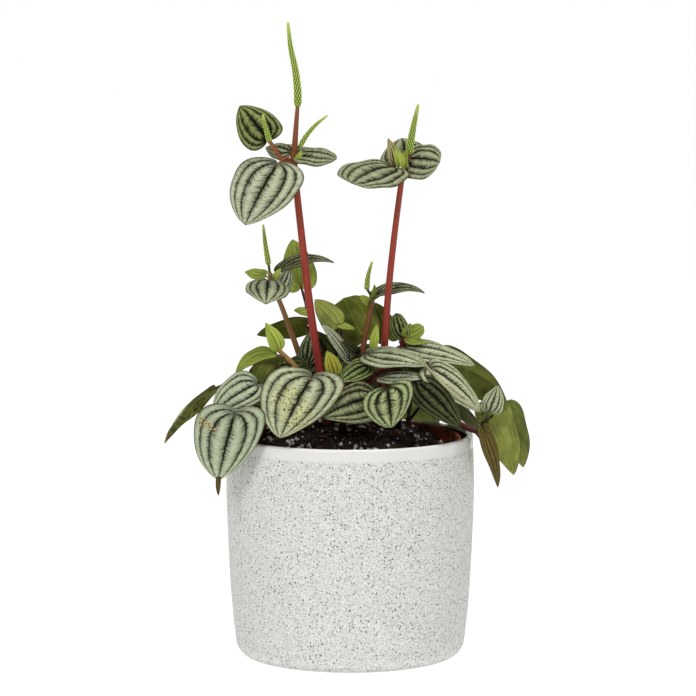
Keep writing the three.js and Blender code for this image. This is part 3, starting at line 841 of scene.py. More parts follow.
class Spline:
    """A centripetal Catmull-Rom curve through points, read by its arc length."""

    SAMPLES = 160

    def __init__(self, points: Sequence[Point]) -> None:
        """Measures the curve.

        Args:
            points: The points that it goes through.
        """
        inner = [Vector(point) for point in points]
        self.hull = [2 * inner[0] - inner[1], *inner, 2 * inner[-1] - inner[-2]]
        self.line = [self._raw(step / self.SAMPLES) for step in range(self.SAMPLES + 1)]
        self.lengths = [0.0]
        for first, second in zip(self.line, self.line[1:]):
            self.lengths.append(self.lengths[-1] + (second - first).length)

    @property
    def length(self) -> float:
        """The curve's length."""
        return self.lengths[-1]

    def _raw(self, share: float) -> Vector:
        """Reads the curve by its spans between the points.

        Args:
            share: The share of the spans.

        Returns:
            The point.
        """
        spans = len(self.hull) - 3
        span = min(int(share * spans), spans - 1)
        t = share * spans - span
        before, start, end, after = self.hull[span:span + 4]
        pairs = ((before, start), (start, end), (end, after))
        first, middle, last = (max((b - a).length, TINY) ** 0.5 for a, b in pairs)
        chord = (end - start) / middle
        leave = (start - before) / first - (end - before) / (first + middle) + chord
        arrive = chord - (after - start) / (middle + last) + (after - end) / last
        leave, arrive = leave * middle, arrive * middle
        square = 3 * (end - start) - 2 * leave - arrive
        cube = 2 * (start - end) + leave + arrive
        return start + leave * t + square * t ** 2 + cube * t ** 3

    def at(self, share: float) -> Vector:
        """Reads the curve by its length.

        Args:
            share: The share of the length.

        Returns:
            The point.
        """
        target = min(max(share, 0.0), 1.0) * self.length
        index = min(max(bisect_right(self.lengths, target), 1), len(self.line) - 1)
        step = self.lengths[index] - self.lengths[index - 1]
        part = (target - self.lengths[index - 1]) / step if step else 0.0
        return self.line[index - 1].lerp(self.line[index], part)

    def frames(self, steps: int) -> list[Matrix]:
        """Gives evenly spaced frames whose Z axes follow the curve without twisting.

        Args:
            steps: The number of steps between the frames.

        Returns:
            A matrix for each frame, in millimetres.
        """
        reach = 0.5 / steps
        frames = []
        side = None
        for step in range(steps + 1):
            share = step / steps
            along = (self.at(share + reach) - self.at(share - reach)).normalized()
            side = side or along.orthogonal()
            side = (side - along * side.dot(along)).normalized()
            turn = Matrix((side, along.cross(side), along)).transposed().to_4x4()
            frames.append(Matrix.Translation(self.at(share)) @ turn)
        return frames


def sweep(
    mesh: Mesh, spline: Spline, radius: Callable[[float], float], sides: int, steps: int,
) -> list[list[Vert]]:
    """Makes a closed tube along a curve, by drawing a circle out ring by ring.

    Args:
        mesh: The mesh that gets the tube.
        spline: The tube's middle line, in millimetres.
        radius: Gives the radius in millimetres at a share of the length.
        sides: The number of sides.
        steps: The number of steps along the tube.

    Returns:
        Each ring's vertices, in no special order.
    """
    places = [
        TO_METRES @ frame_at @ Matrix.Scale(radius(step / steps), 4)
        for step, frame_at in enumerate(spline.frames(steps))
    ]
    ring = bmesh.ops.create_circle(
        mesh, cap_ends=False, radius=1.0, segments=sides, matrix=places[0],
    )["verts"]
    rings = [ring]
    for before, after in zip(places, places[1:]):
        made = bmesh.ops.extrude_edge_only(mesh, edges=edges_among(ring))["geom"]
        ring = [item for item in made if isinstance(item, Vert)]
        bmesh.ops.transform(mesh, matrix=after @ before.inverted(), verts=ring)
        rings.append(ring)
    for end in (rings[0], rings[-1]):
        bmesh.ops.contextual_create(mesh, geom=edges_among(end))
    bmesh.ops.recalc_face_normals(mesh, faces=faces_of(vert for ring in rings for vert in ring))
    return rings


def edges_among(verts: Iterable[Vert]) -> list[Edge]:
    """Gives the edges whose two ends are both among the vertices."""
    group = set(verts)
    return list({edge for vert in group for edge in vert.link_edges if set(edge.verts) <= group})


def faces_of(verts: Iterable[Vert]) -> list[Face]:
    """Gives the faces that touch any of the vertices."""
    return list({face for vert in verts for face in vert.link_faces})


def lathe(mesh: Mesh, profile: Sequence[Pair], steps: int) -> None:
    """Turns a profile once round the Z axis.

    Args:
        mesh: The mesh that gets the shape.
        profile: The radius and height of its points, in millimetres.
        steps: The number of steps in the turn.
    """
    verts = [mesh.verts.new((radius * MM, 0.0, height * MM)) for radius, height in profile]
    edges = [mesh.edges.new(pair) for pair in zip(verts, verts[1:])]
    bmesh.ops.spin(
        mesh, geom=verts + edges, cent=(0, 0, 0), axis=(0, 0, 1), dvec=(0, 0, 0),
        angle=2 * math.pi, steps=steps, use_merge=True,
    )
    bmesh.ops.remove_doubles(mesh, verts=mesh.verts[:], dist=0.01 * MM)


def arc(x: float, y: float, radius: float, start: float, end: float, steps: int) -> list[tuple]:
    """Gives points on an arc round x, y between two angles in degrees, its ends included."""
    turns = [math.radians(start + (end - start) * step / steps) for step in range(steps + 1)]
    return [(x + radius * math.cos(turn), y + radius * math.sin(turn)) for turn in turns]


def place_object(name: str, data: bpy.types.ID) -> bpy.types.Object:
    """Puts an object into the scene.

    Args:
        name: The object's name.
        data: Its mesh, light or camera.

    Returns:
        The object.
    """
    item = bpy.data.objects.new(name, data)
    bpy.context.scene.collection.objects.link(item)
    return item


def make_piece(
    name: str,
    mesh: Mesh,
    materials: Sequence[Material],
    slot: str,
    nodes: Sequence[str] = (),
    crease: float = 50.0,
) -> bpy.types.Object:
    """Makes a piece of the part from a finished bmesh.

    Args:
        name: The piece's name.
        mesh: Its shape in metres, in the part's frame.
        materials: Its materials, in the order of its faces' material numbers.
        slot: The material slot of the record that it is finished from.
        nodes: The solids that it stands for.
        crease: The angle in degrees past which an edge is shaded sharp.

    Returns:
        The piece's object.
    """
    for face in mesh.faces:
        face.smooth = True
    for edge in mesh.edges:
        if len(edge.link_faces) == 2:
            edge.smooth = edge.calc_face_angle(0.0) < math.radians(crease)
    data = bpy.data.meshes.new(name)
    mesh.to_mesh(data)
    mesh.free()
    for material in materials:
        data.materials.append(material)
    piece = place_object(name, data)
    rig.ride(piece, BODY)
    if nodes:
        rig.replaces(piece, *nodes)
    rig.slot(piece, slot)
    LOG.info("%s: %d faces", name, len(data.polygons))
    return piece


# Pots and soil

# Painted shade: the cover pot's inner wall below the lip is coloured a near-black brown where shade falls.
INNER_WALL_SHADE = Ground("painted_shade_inner_wall", (26, 20, 16), (54, 44, 36), 0.12, 0.5, 0.1)
BED_SOIL = Ground("soil_bed", (14, 10, 8), (46, 32, 22), 0.6)


@dataclass
class CoverPot:
    """The glazed cover pot, turned from its profile."""

    height: float = 117.0
    wall: float = 3.2
    floor: float = 5.0
    lip_radius: float = 1.4
    foot_radius: float = 52.0
    side: tuple[Pair, ...] = (
        (60.2, 9.0), (61.4, 19.0), (62.7, 34.0), (63.9, 56.0), (65.0, 90.0), (64.4, 114.0),
    )
    side_steps: int = 28
    corner_steps: int = 10
    lip_steps: int = 6
    steps: int = 192

    def profile(self) -> list[Pair]:
        """Draws the outline from the middle of the base round to the middle of the floor.

        Returns:
            The radius and height of its points, in millimetres.
        """
        spline = Spline([(radius, 0.0, height) for radius, height in self.side])
        places = [spline.at(step / self.side_steps) for step in range(1, self.side_steps)]
        outside = [(place.x, place.z) for place in places]
        corner_radius, corner_height = self.side[0]
        corner = [
            (self.foot_radius + x * (corner_radius - self.foot_radius), corner_height * (1 + y))
            for x, y in arc(0.0, 0.0, 1.0, -90, 0, self.corner_steps)
        ]
        rim, radius = self.side[-1][0], self.lip_radius
        lip_height = self.height - radius
        lip = [
            *arc(rim - radius, lip_height, radius, 0, 90, self.lip_steps),
            *arc(rim - self.wall + radius, lip_height, radius, 90, 180, self.lip_steps),
        ]
        inside = [(radius - self.wall, height) for radius, height in reversed(outside)]
        floor = [(self.foot_radius, self.floor), (0.0, self.floor)]
        return [(0.0, 0.0), *corner, *outside, *lip, *inside, *floor]

    def build(self, glaze: Material, inner: Material) -> None:
        """Turns the pot and glazes it.

        Args:
            glaze: The finish of the outside and the rim.
            inner: The finish of the inner wall, a dark brown that is painted shade.
        """
        mesh = bmesh.new()
        lathe(mesh, self.profile(), self.steps)
        bmesh.ops.recalc_face_normals(mesh, faces=mesh.faces[:])
        for face in mesh.faces:
            centre = face.calc_center_median()
            inward = face.normal.xy.dot(centre.xy) < -TINY
            below_lip = centre.z < (self.height - 2 * self.lip_radius) * MM
            # Faces of the inner wall below the lip take the painted shade.
            face.material_index = int(inward and below_lip)
        make_piece("glazed_cover_pot", mesh, [glaze, inner], "glaze", ["cover_pot"])


@dataclass
class GrowPot:
    """The thin nursery pot, leaning a little inside the cover pot."""

    height: float = 109.5
    top_radius: float = 57.0
    base_radius: float = 44.0
    wall: float = 1.1
    floor: float = 1.2
    rim_width: float = 1.0
    rim_height: float = 8.0
    tilt: float = 2.0
    lean_azimuth: float = -72.0
    lift: float = 5.3
    drain_holes: int = 6
    drain_radius: float = 4.0
    drain_circle: float = 30.0
    drain_sides: int = 24
    rim_bevel: float = 0.4
    rim_steps: int = 10
    steps: int = 120

    def lean(self) -> Matrix:
        """Leans the pot.

        Returns:
            The matrix that brings a shape in metres from upright to the pot's place.
        """
        turn = math.radians(self.lean_azimuth)
        axis = Vector((0, 0, 1)).cross(Vector((math.cos(turn), math.sin(turn), 0)))
        angle = math.radians(self.tilt)
        lift = self.lift + self.base_radius * math.sin(angle)
        return Matrix.Translation((0, 0, lift * MM)) @ Matrix.Rotation(angle, 4, axis)

    def inside_radius(self, height: float) -> float:
        """Gives the inner radius at a height above the pot's own base."""
        slope = (self.top_radius - self.rim_width - self.base_radius) / self.height
        return self.base_radius - self.wall + slope * height

    def _plate(self, mesh: Mesh, height: float) -> list[list[Edge]]:
        """Fills one face of the floor, with its drain holes left open.

        Args:
            mesh: The pot's mesh.
            height: The face's height, in millimetres.

        Returns:
            The edges of each hole.
        """
        rim = [edge for edge in mesh.edges if edge.is_boundary]
        level, near = height * MM, 0.1 * MM
        border = [edge for edge in rim if all(abs(vert.co.z - level) < near for vert in edge.verts)]
        holes = []
        for hole in range(self.drain_holes):
            turn = 2 * math.pi * hole / self.drain_holes
            x, y = self.drain_circle * math.cos(turn), self.drain_circle * math.sin(turn)
            circle = bmesh.ops.create_circle(
                mesh, cap_ends=False, radius=self.drain_radius * MM, segments=self.drain_sides,
                matrix=Matrix.Translation(Vector((x, y, height)) * MM),
            )["verts"]
            holes.append(edges_among(circle))
        cut = [edge for hole in holes for edge in hole]
        bmesh.ops.triangle_fill(mesh, use_beauty=True, edges=border + cut)
        return holes

    def build(self, plastic: Material) -> None:
        """Makes the wall, the rolled rim and the floor with its drain holes.

        Args:
            plastic: The pot's finish.
        """
        mesh = bmesh.new()
        below = self.height - self.rim_height
        roll = (self.wall + self.rim_width) / 2
        crest = arc(self.top_radius - roll, self.height - roll, roll, 180, 0, self.rim_steps)
        profile = [
            (self.base_radius - self.wall, self.floor),
            *crest,
            (self.top_radius, below + self.rim_bevel),
            (self.top_radius - self.rim_bevel, below),
            (self.top_radius - self.rim_width, below),
            (self.base_radius, 0.0),
        ]
        lathe(mesh, profile, self.steps)
        upper, lower = self._plate(mesh, self.floor), self._plate(mesh, 0.0)
        for first, second in zip(upper, lower):
            bmesh.ops.bridge_loops(mesh, edges=first + second)
        bmesh.ops.recalc_face_normals(mesh, faces=mesh.faces[:])
        bmesh.ops.transform(mesh, matrix=self.lean(), verts=mesh.verts[:])
        make_piece("nursery_pot", mesh, [plastic], "grow_pot", ["grow_pot"])


@dataclass
class Crumb:
    """A kind of loose bit that lies on the soil."""

    name: str
    finish: Ground
    count: int
    sizes: Pair
    flatness: float
    rounds: int
    sink: float = 0.3
    ruggedness: float = 0.22

    def scaled(self, share: float) -> float:
        """Gives a size in millimetres, small ones being the more frequent."""
        return self.sizes[0] + (self.sizes[1] - self.sizes[0]) * share ** 2


@dataclass
class SoilBed:
    """The heaped soil, its crumbs, perlite, bark and root fibres."""

    pot: GrowPot
    depth_below_rim: float = 3.0
    mound: float = 9.0
    lumpiness: float = 1.3
    hollow: Pair = (50.0, 6.0)
    hollow_radius: float = 21.0
    hollow_depth: float = 9.0
    side_gap: float = 0.35
    floor_gap: float = 0.3
    rings: int = 52
    side_rings: int = 8
    steps: int = 150
    scatter: float = 0.955
    crumbs: tuple[Crumb, ...] = (
        Crumb("soil_crumbs", Ground("soil_crumbs", (12, 8, 6), (84, 66, 50), 0.7),
              3000, (0.3, 1.2), 0.75, 1),
        Crumb("perlite", Ground("perlite", (196, 190, 182), (250, 246, 240), 0.8),
              420, (0.22, 1.5), 0.85, 1, 0.15, 0.36),
        Crumb("bark_chips", Ground("bark_chips", (46, 26, 16), (112, 66, 40), 0.5),
              110, (0.7, 2.2), 0.3, 2, 0.2),
    )
    fibres: int = 90
    fibre_lift: float = 0.45
    fibre_arch: float = 0.3
    fibre_finish: Ground = Ground("root_fibres", (120, 92, 62), (188, 164, 126), 0.8)

    @property
    def level(self) -> float:
        """The soil's height at the wall, above the pot's own base."""
        return self.pot.height - self.depth_below_rim

    def surface(self, x: float, y: float) -> float:
        """Shapes the soil's face: a lumpy mound with a hollow in it.

        Args:
            x: The place across, in millimetres.
            y: The place from front to back.

        Returns:
            The face's height above the pot's own base, in millimetres.
        """
        share = min(math.hypot(x, y) / self.pot.inside_radius(self.level), 1.0)
        waves = math.sin(0.61 * x + 1.3) * math.cos(0.53 * y - 0.4)
        waves += 0.6 * math.sin(1.17 * x - 0.9 * y)
        fade = 1 - ease(0.9, 1.0, share)
        lumps = 0.8 * noise.noise(Vector((x, y, 0)) * 0.35)
        lumps += 0.5 * noise.noise(Vector((x, y, 5)) * 0.9)
        away = math.hypot(x - self.hollow[0], y - self.hollow[1]) / self.hollow_radius
        sunk = self.hollow_depth * math.exp(-away ** 2)
        heap = self.mound * (1 - share ** 2)
        return self.level + heap + fade * (self.lumpiness * waves + lumps) - sunk

    def _bed(self, soil: Material) -> None:
        """Turns the soil's body and heaps its face.

        Args:
            soil: The bed's finish.
        """
        mesh = bmesh.new()
        bottom = self.pot.floor + self.floor_gap
        edge = self.pot.inside_radius(self.level) - self.side_gap
        foot = self.pot.inside_radius(bottom) - self.side_gap
        top = [(edge * ring / self.rings, self.level) for ring in range(self.rings + 1)]
        wall = [
            (edge + (foot - edge) * ring / self.side_rings,
             self.level + (bottom - self.level) * ring / self.side_rings)
            for ring in range(1, self.side_rings + 1)
        ]
        lathe(mesh, [*top, *wall, (0.0, bottom)], self.steps)
        for vert in mesh.verts:
            if vert.co.z > (self.level - 0.5) * MM:
                vert.co.z = self.surface(vert.co.x / MM, vert.co.y / MM) * MM
        bmesh.ops.recalc_face_normals(mesh, faces=mesh.faces[:])
        bmesh.ops.transform(mesh, matrix=self.pot.lean(), verts=mesh.verts[:])
        make_piece("soil_bed", mesh, [soil], "soil", ["soil"])

    def _spot(self, draw: random.Random) -> Vector:
        """Picks a random place on the soil's face.

        Args:
            draw: The source of random numbers.

        Returns:
            The place, in millimetres, with its height above the pot's own base.
        """
        radius = self.scatter * self.pot.inside_radius(self.level) * math.sqrt(draw.random())
        turn = draw.uniform(0, 2 * math.pi)
        x, y = radius * math.cos(turn), radius * math.sin(turn)
        return Vector((x, y, self.surface(x, y)))

    def _scatter(self, crumb: Crumb, draw: random.Random) -> None:
        """Strews one kind of loose bit over the soil.

        Args:
            crumb: The kind.
            draw: The source of random numbers.
        """
        mesh = bmesh.new()
        for _ in range(crumb.count):
            size = crumb.scaled(draw.random())
            spot = self._spot(draw) + Vector((0, 0, size * crumb.flatness * (0.5 - crumb.sink)))
            turn = Matrix.Rotation(draw.uniform(0, 2 * math.pi), 4, "Z")
            tip = Matrix.Rotation(draw.gauss(0, 0.45), 4, "X")
            long, wide = draw.uniform(0.7, 1.4), draw.uniform(0.6, 1.0)
            shape = Matrix.Diagonal((long, wide, crumb.flatness, 1.0))
            ball = bmesh.ops.create_icosphere(
                mesh, subdivisions=crumb.rounds, radius=size,
                matrix=TO_METRES @ Matrix.Translation(spot) @ turn @ tip @ shape,
            )["verts"]
            rough = crumb.ruggedness * size * MM
            for vert in ball:
                vert.co += Vector([draw.uniform(-1, 1) * rough for _ in range(3)])
        bmesh.ops.transform(mesh, matrix=self.pot.lean(), verts=mesh.verts[:])
        make_piece(crumb.name, mesh, [crumb.finish.material()], "soil", crease=35.0)

    def _strew_fibres(self, draw: random.Random) -> None:
        """Lays thin root fibres over the soil.

        Args:
            draw: The source of random numbers.
        """
        mesh = bmesh.new()
        for _ in range(self.fibres):
            spot = self._spot(draw)
            turn, bend = draw.uniform(0, 2 * math.pi), draw.uniform(-0.8, 0.8)
            reach = draw.uniform(1.5, 4.5)
            points = []
            for step in (-1, 0, 1):
                angle = turn + bend * step
                x = spot.x + reach * step * math.cos(angle)
                y = spot.y + reach * step * math.sin(angle)
                lift = self.fibre_lift + self.fibre_arch * (step == 0)
                points.append((x, y, self.surface(x, y) + lift))
            thickness = draw.uniform(0.06, 0.14)
            sweep(mesh, Spline(points), lambda share, width=thickness: width * (1.15 - share), 5, 8)
        bmesh.ops.transform(mesh, matrix=self.pot.lean(), verts=mesh.verts[:])
        make_piece("root_fibres", mesh, [self.fibre_finish.material()], "soil")

    def build(self, soil: Material) -> None:
        """Makes the bed and strews everything that lies on it.

        Args:
            soil: The bed's finish.
        """
        draw = random.Random(SEED)
        self._bed(soil)
        for crumb in self.crumbs:
            self._scatter(crumb, draw)
        self._strew_fibres(draw)


# Leaves


@dataclass(frozen=True)
class LeafColours:
    """A leaf's colours, and how far the dark feathers spread from its veins."""

    ground: Shade
    vein: Shade
    under: Shade
    feather: float


class Tone(Enum):
    """The looks that a leaf can have, by its age and by how the light finds it."""

    DUSKY = LeafColours((158, 162, 126), (16, 18, 6), (104, 112, 48), 1.25)
    SILVER = LeafColours((184, 190, 158), (24, 28, 8), (118, 126, 56), 1.0)
    BRIGHT = LeafColours((180, 190, 158), (22, 30, 12), (114, 124, 50), 0.9)
    PALE = LeafColours((186, 192, 155), (24, 28, 10), (118, 126, 56), 1.0)
    GREEN = LeafColours((164, 174, 124), (14, 24, 4), (118, 128, 54), 1.3)
    GREY = LeafColours((144, 148, 108), (12, 14, 4), (92, 98, 42), 1.35)
    DARK = LeafColours((80, 85, 54), (6, 8, 2), (74, 80, 32), 1.3)
    SHADE = LeafColours((84, 92, 54), (30, 36, 14), (74, 80, 32), 0.8)
    MURKY = LeafColours((134, 142, 86), (10, 16, 2), (92, 98, 42), 1.4)
    DEEP = LeafColours((154, 168, 104), (12, 24, 4), (96, 112, 44), 1.3)
    YOUNG = LeafColours((148, 160, 72), (90, 104, 30), (140, 150, 66), 0.35)
    LIME = LeafColours((180, 194, 90), (130, 148, 50), (164, 178, 78), 0.2)
    MUSTARD = LeafColours((178, 178, 72), (96, 84, 24), (138, 124, 40), 0.4)
    OLIVE = LeafColours((170, 178, 140), (24, 28, 10), (112, 120, 46), 1.0)
    BACKLIT = LeafColours((170, 178, 140), (24, 28, 10), (154, 162, 80), 1.0)
    CREAM = LeafColours((206, 198, 138), (60, 28, 18), (186, 182, 112), 1.0)
    BROWN = LeafColours((106, 94, 50), (44, 32, 10), (92, 80, 38), 0.6)


class StemTone(Enum):
    """A stem's colours at its foot and at its head."""

    CRIMSON = ((142, 32, 28), (152, 66, 44))
    BROWN_RED = ((132, 66, 40), (130, 84, 44))
    OCHRE = ((116, 68, 38), (150, 112, 66))
    # DARK_RED's near-black foot is painted shade where the stems leave the soil; its head is the stem's own red.
    DARK_RED = ((40, 14, 12), (104, 36, 28))
    ORANGE = ((164, 100, 58), (180, 140, 84))
    OLIVE = ((96, 78, 42), (132, 130, 70))
    LIME = ((112, 134, 54), (146, 170, 70))
    ROSE = ((136, 44, 38), (168, 70, 58))
    CURL = ((150, 146, 110), (194, 192, 154))


@dataclass(frozen=True)
class Form:
    """How a blade is bent: arch, cupping, fold and waves, lobes, notch, tip and sideways lean."""

    arch: float = 0.08
    cup: float = 0.1
    fold: float = 0.0
    wave: float = 0.02
    lobe: float = 0.85
    taper: float = 0.88
    skew: float = 0.0
    phase: float = 0.0
    pinch: float = 0.8
    lopsided: float = 0.0


@dataclass(frozen=True)
class Spot:
    """A mark on a blade, at a share of its length and width, with a radius in millimetres."""

    share: float
    side: float
    radius: float


@dataclass(frozen=True)
class Stalk:
    """A leaf stalk, from its stem by way of points to the blade."""

    start: Point
    via: tuple[Point, ...] = ()
    radius: float = 1.1
    tone: StemTone | None = None


@dataclass(frozen=True)
class LeafLayers:
    """The attributes and UV maps that a leaf's mesh carries for its finish."""

    veins: Layer
    cells: Layer
    numbers: dict[str, Layer]
    colours: dict[str, Layer]

    @classmethod
    def add_to(cls, mesh: Mesh) -> "LeafLayers":
        """Adds the layers to a mesh.

        Args:
            mesh: The mesh.

        Returns:
            The layers.
        """
        return cls(
            mesh.loops.layers.uv.new("veins"),
            mesh.loops.layers.uv.new("cells"),
            {name: mesh.verts.layers.float.new(name) for name in LEAF_NUMBERS},
            {name: mesh.verts.layers.float_color.new(name) for name in LEAF_SHADES},
        )


# What all the leaves and stalks have in common, in millimetres and shares

LEAF_NUMBERS = ("spread", "feather", "scar", "specks")
LEAF_SHADES = ("ground", "vein", "under")
VEIN_SIDES = (0.0, 0.5, 0.79, 1.0)
OUTERMOST = len(VEIN_SIDES) - 1
QUILT_HEIGHT = 0.17
NOTCH_LENGTH = 0.075
WAVES = 2.2
PROBE = 0.1
LARGE_WIDTH = 10
FINE_GRID = (30, 34)
COARSE_GRID = (16, 20)
ROW_CROWDING = 1.7
THICKNESS = 0.56
THINNER_AT_MARGIN = 0.45
CELL_OFFSET = 61.0
KEY_SCALE = 1e7
STEM_STEP = 3
STALK_STEP = 1.6
STALK_SIDES = 10
STALK_SHARE = 0.66
SUNK_SHARE = 0.07
SUNK_DEPTH = 0.3


@dataclass(frozen=True)
class Blade:
    """A leaf blade from its notch to its tip, seen from the side that it faces, and its stalk."""

    base: Point
    tip: Point
    width: float
    facing: Point
    tone: Tone
    stalk: Stalk | None = None
    form: Form = Form()
    scars: tuple[Spot, ...] = ()
    specks: tuple[Spot, ...] = ()

    def axes(self) -> tuple[Vector, Vector, Vector, float]:
        """Measures the blade.

        Returns:
            Its directions along, across and up, and its length.
        """
        along = Vector(self.tip) - Vector(self.base)
        length = along.length
        along.normalize()
        facing = Vector(self.facing)
        up = (facing - along * facing.dot(along)).normalized()
        return along, up.cross(along), up, length

    def outline(self, share: float) -> float:
        """Shapes the margin.

        Args:
            share: The share of the length.

        Returns:
            The half width there, as a share of the greatest.
        """
        taper = self.form.taper
        widest = 0.5 / (0.5 + taper)
        peak = math.sqrt(widest) * (1 - widest) ** taper
        return math.sqrt(share) * max(1 - share, 0.0) ** taper / peak

    def point(self, share: float, side: float) -> Vector:
        """Gives the place of a point of the blade, in millimetres.

        Args:
            share: 0 at the notch and 1 at the tip.
            side: -1 at one margin, 0 on the midrib and 1 at the other margin.

        Returns:
            The place.
        """
        form = self.form
        along, across, up, length = self.axes()
        outline = self.outline(share)
        closing = 1 - form.pinch * abs(side) * math.exp(-share / NOTCH_LENGTH)
        lateral = side * outline * self.width / 2 * closing * (1 - form.lopsided * side)
        lobes = form.lobe * side * side * math.sqrt(share) * (1 - share) ** 2
        forward = length * (share - lobes) + form.skew * lateral
        turn = 2 * math.pi * (WAVES * share + form.phase) + 2 * side
        ripple = form.wave * self.width * side * side * outline * math.sin(turn)
        height = length * form.arch * 4 * share * (1 - share)
        height -= self.width * form.cup * (side * outline) ** 2
        height += form.fold * abs(lateral) + ripple
        return Vector(self.base) + along * forward + across * lateral + up * height

    def spread(self, share: float, rank: float) -> float:
        """Gives the width between the two veins beside a place, in millimetres."""
        step = vein_side(abs(rank) + PROBE) - vein_side(abs(rank) - PROBE)
        return self.outline(share) * self.width / 2 * abs(step) / (2 * PROBE)

    def quilt(self, share: float, rank: float) -> float:
        """Swells the blade between its sunken veins.

        Args:
            share: The place along the blade.
            rank: The place across it, in ranks of veins.

        Returns:
            The swelling, in millimetres.
        """
        order = min(int(abs(rank)), OUTERMOST - 1)
        gap = self.outline(share) * self.width / 2 * (VEIN_SIDES[order + 1] - VEIN_SIDES[order])
        swell = abs(math.sin(math.pi * rank)) ** 0.75
        return QUILT_HEIGHT * gap * swell * (1 - ease(0.86, 1.0, share))

    def _mark(self, vert: Vert, layers: LeafLayers, share: float, rank: float) -> None:
        """Writes what the finish needs to know at one vertex.

        Args:
            vert: The vertex.
            layers: The layers to write to.
            share: Its place along the blade.
            rank: Its place across it, in ranks of veins.
        """
        colours = self.tone.value
        place = self.point(share, vein_side(rank))
        marks = (
            self.spread(share, rank), colours.feather,
            self._near(place, self.scars), self._near(place, self.specks),
        )
        for name, mark in zip(LEAF_NUMBERS, marks):
            vert[layers.numbers[name]] = mark
        for name in LEAF_SHADES:
            vert[layers.colours[name]] = linear(getattr(colours, name))

    def _near(self, place: Vector, spots: Sequence[Spot]) -> float:
        """Gives how deep in any of the spots a place is, from 0 to 1."""
        away = [(place - self.point(spot.share, spot.side)).length / spot.radius for spot in spots]
        return max((1 - ease(0.45, 1.1, distance) for distance in away), default=0.0)

    def build(self, mesh: Mesh, layers: LeafLayers, number: int) -> None:
        """Makes the blade from a grid and thickens it.

        Args:
            mesh: The mesh that gets the blade.
            layers: The layers that the finish reads.
            number: The blade's number, which makes its pattern its own.
        """
        columns, rows = FINE_GRID if self.width > LARGE_WIDTH else COARSE_GRID
        grid = bmesh.ops.create_grid(mesh, x_segments=columns, y_segments=rows, size=1.0)["verts"]
        stations = {
            vert: (((vert.co.y + 1) / 2) ** ROW_CROWDING, -OUTERMOST * vert.co.x) for vert in grid
        }
        sheet = faces_of(grid)
        _, _, up, length = self.axes()
        offset = CELL_OFFSET * number
        for face in sheet:
            for loop in face.loops:
                share, rank = stations[loop.vert]
                lateral = vein_side(rank) * self.outline(share) * self.width / 2
                loop[layers.veins].uv = (rank, share)
                loop[layers.cells].uv = (lateral + offset, share * length + offset)
        for vert, (share, rank) in stations.items():
            self._mark(vert, layers, share, rank)
            vert.co = (self.point(share, vein_side(rank)) + up * self.quilt(share, rank)) * MM
        ends = [vert for vert, (share, _) in stations.items() if not TINY <= share <= 1 - TINY]
        margin = {vert: abs(rank) / OUTERMOST for vert, (_, rank) in stations.items()}
        bmesh.ops.remove_doubles(mesh, verts=ends, dist=0.001 * MM)
        self._thicken(mesh, [face for face in sheet if face.is_valid], margin)

    def _thicken(self, mesh: Mesh, sheet: list[Face], margin: dict[Vert, float]) -> None:
        """Draws the upper face off the lower one and turns the lower one round.

        Args:
            mesh: The mesh that holds the blade.
            sheet: The blade's faces.
            margin: How near the margin each vertex is, 0 on the midrib and 1 at the margin.
        """
        verts = list({vert for face in sheet for vert in face.verts})
        for face in sheet:
            face.normal_update()
        for vert in verts:
            vert.normal_update()
        offsets = {
            vert: vert.normal * self._half_thickness(margin.get(vert, 1.0)) for vert in verts
        }
        starts = {vert: vert.co.copy() for vert in verts}
        made = bmesh.ops.extrude_face_region(mesh, geom=sheet, use_keep_orig=True)["geom"]
        upper = [item for item in made if isinstance(item, Vert)]
        sources = {self._key(place): vert for vert, place in starts.items()}
        for vert in upper:
            source = sources[self._key(vert.co)]
            vert.co = starts[source] + offsets[source]
        for vert in verts:
            vert.co = starts[vert] - offsets[vert]
        bmesh.ops.reverse_faces(mesh, faces=sheet)
        for face in sheet:
            face.material_index = 1

    @staticmethod
    def _key(place: Vector) -> tuple[int, ...]:
        """Gives whole numbers that are the same for two vertices at one place."""
        return tuple(round(value * KEY_SCALE) for value in place)

    @staticmethod
    def _half_thickness(margin: float) -> float:
        """Gives half the blade's thickness in metres, by how near the margin it is."""
        return THICKNESS / 2 * (1 - THINNER_AT_MARGIN * ease(0.85, 1.0, margin)) * MM


def vein_side(rank: float) -> float:
    """Finds a place across the blade.

    Args:
        rank: The place in ranks of veins, 0 on the midrib and 3 at the margin.

    Returns:
        The place as a share of the half width, with the rank's sign.
    """
    order = min(int(abs(rank)), OUTERMOST - 1)
    inner, outer = VEIN_SIDES[order:order + 2]
    return math.copysign(inner + (outer - inner) * (abs(rank) - order), rank)


def rosette_blade(
    foot: Point,
    azimuth: float,
    reach: float,
    height: float,
    droop: float,
    length: float,
    width: float,
    tone: Tone,
) -> Blade:
    """Gives a leaf of the rosette's back, which leaves its shoot at an azimuth and droops outwards.

    Args:
        foot: Where its stalk leaves the shoot.
        azimuth: The direction that it leaves in, in degrees.
        reach: How far from the pot's axis its notch is.
        height: The notch's height.
        droop: How steeply it falls, in degrees.
        length: The blade's length.
        width: The blade's width.
        tone: Its colours.

    Returns:
        The blade.
    """
    turn, fall = math.radians(azimuth), math.radians(droop)
    out = (math.cos(turn), math.sin(turn))
    base = (reach * out[0], reach * out[1], height)
    run = length * math.cos(fall)
    tip = (base[0] + run * out[0], base[1] + run * out[1], height - length * math.sin(fall))
    facing = (math.sin(fall) * out[0], math.sin(fall) * out[1], math.cos(fall))
    via = ((foot[0] + base[0]) / 2, (foot[1] + base[1]) / 2, height - 2)
    return Blade(base, tip, width, facing, tone, Stalk(foot, (via,)), Form(phase=azimuth / 90))


# Stems, spikes and shoots


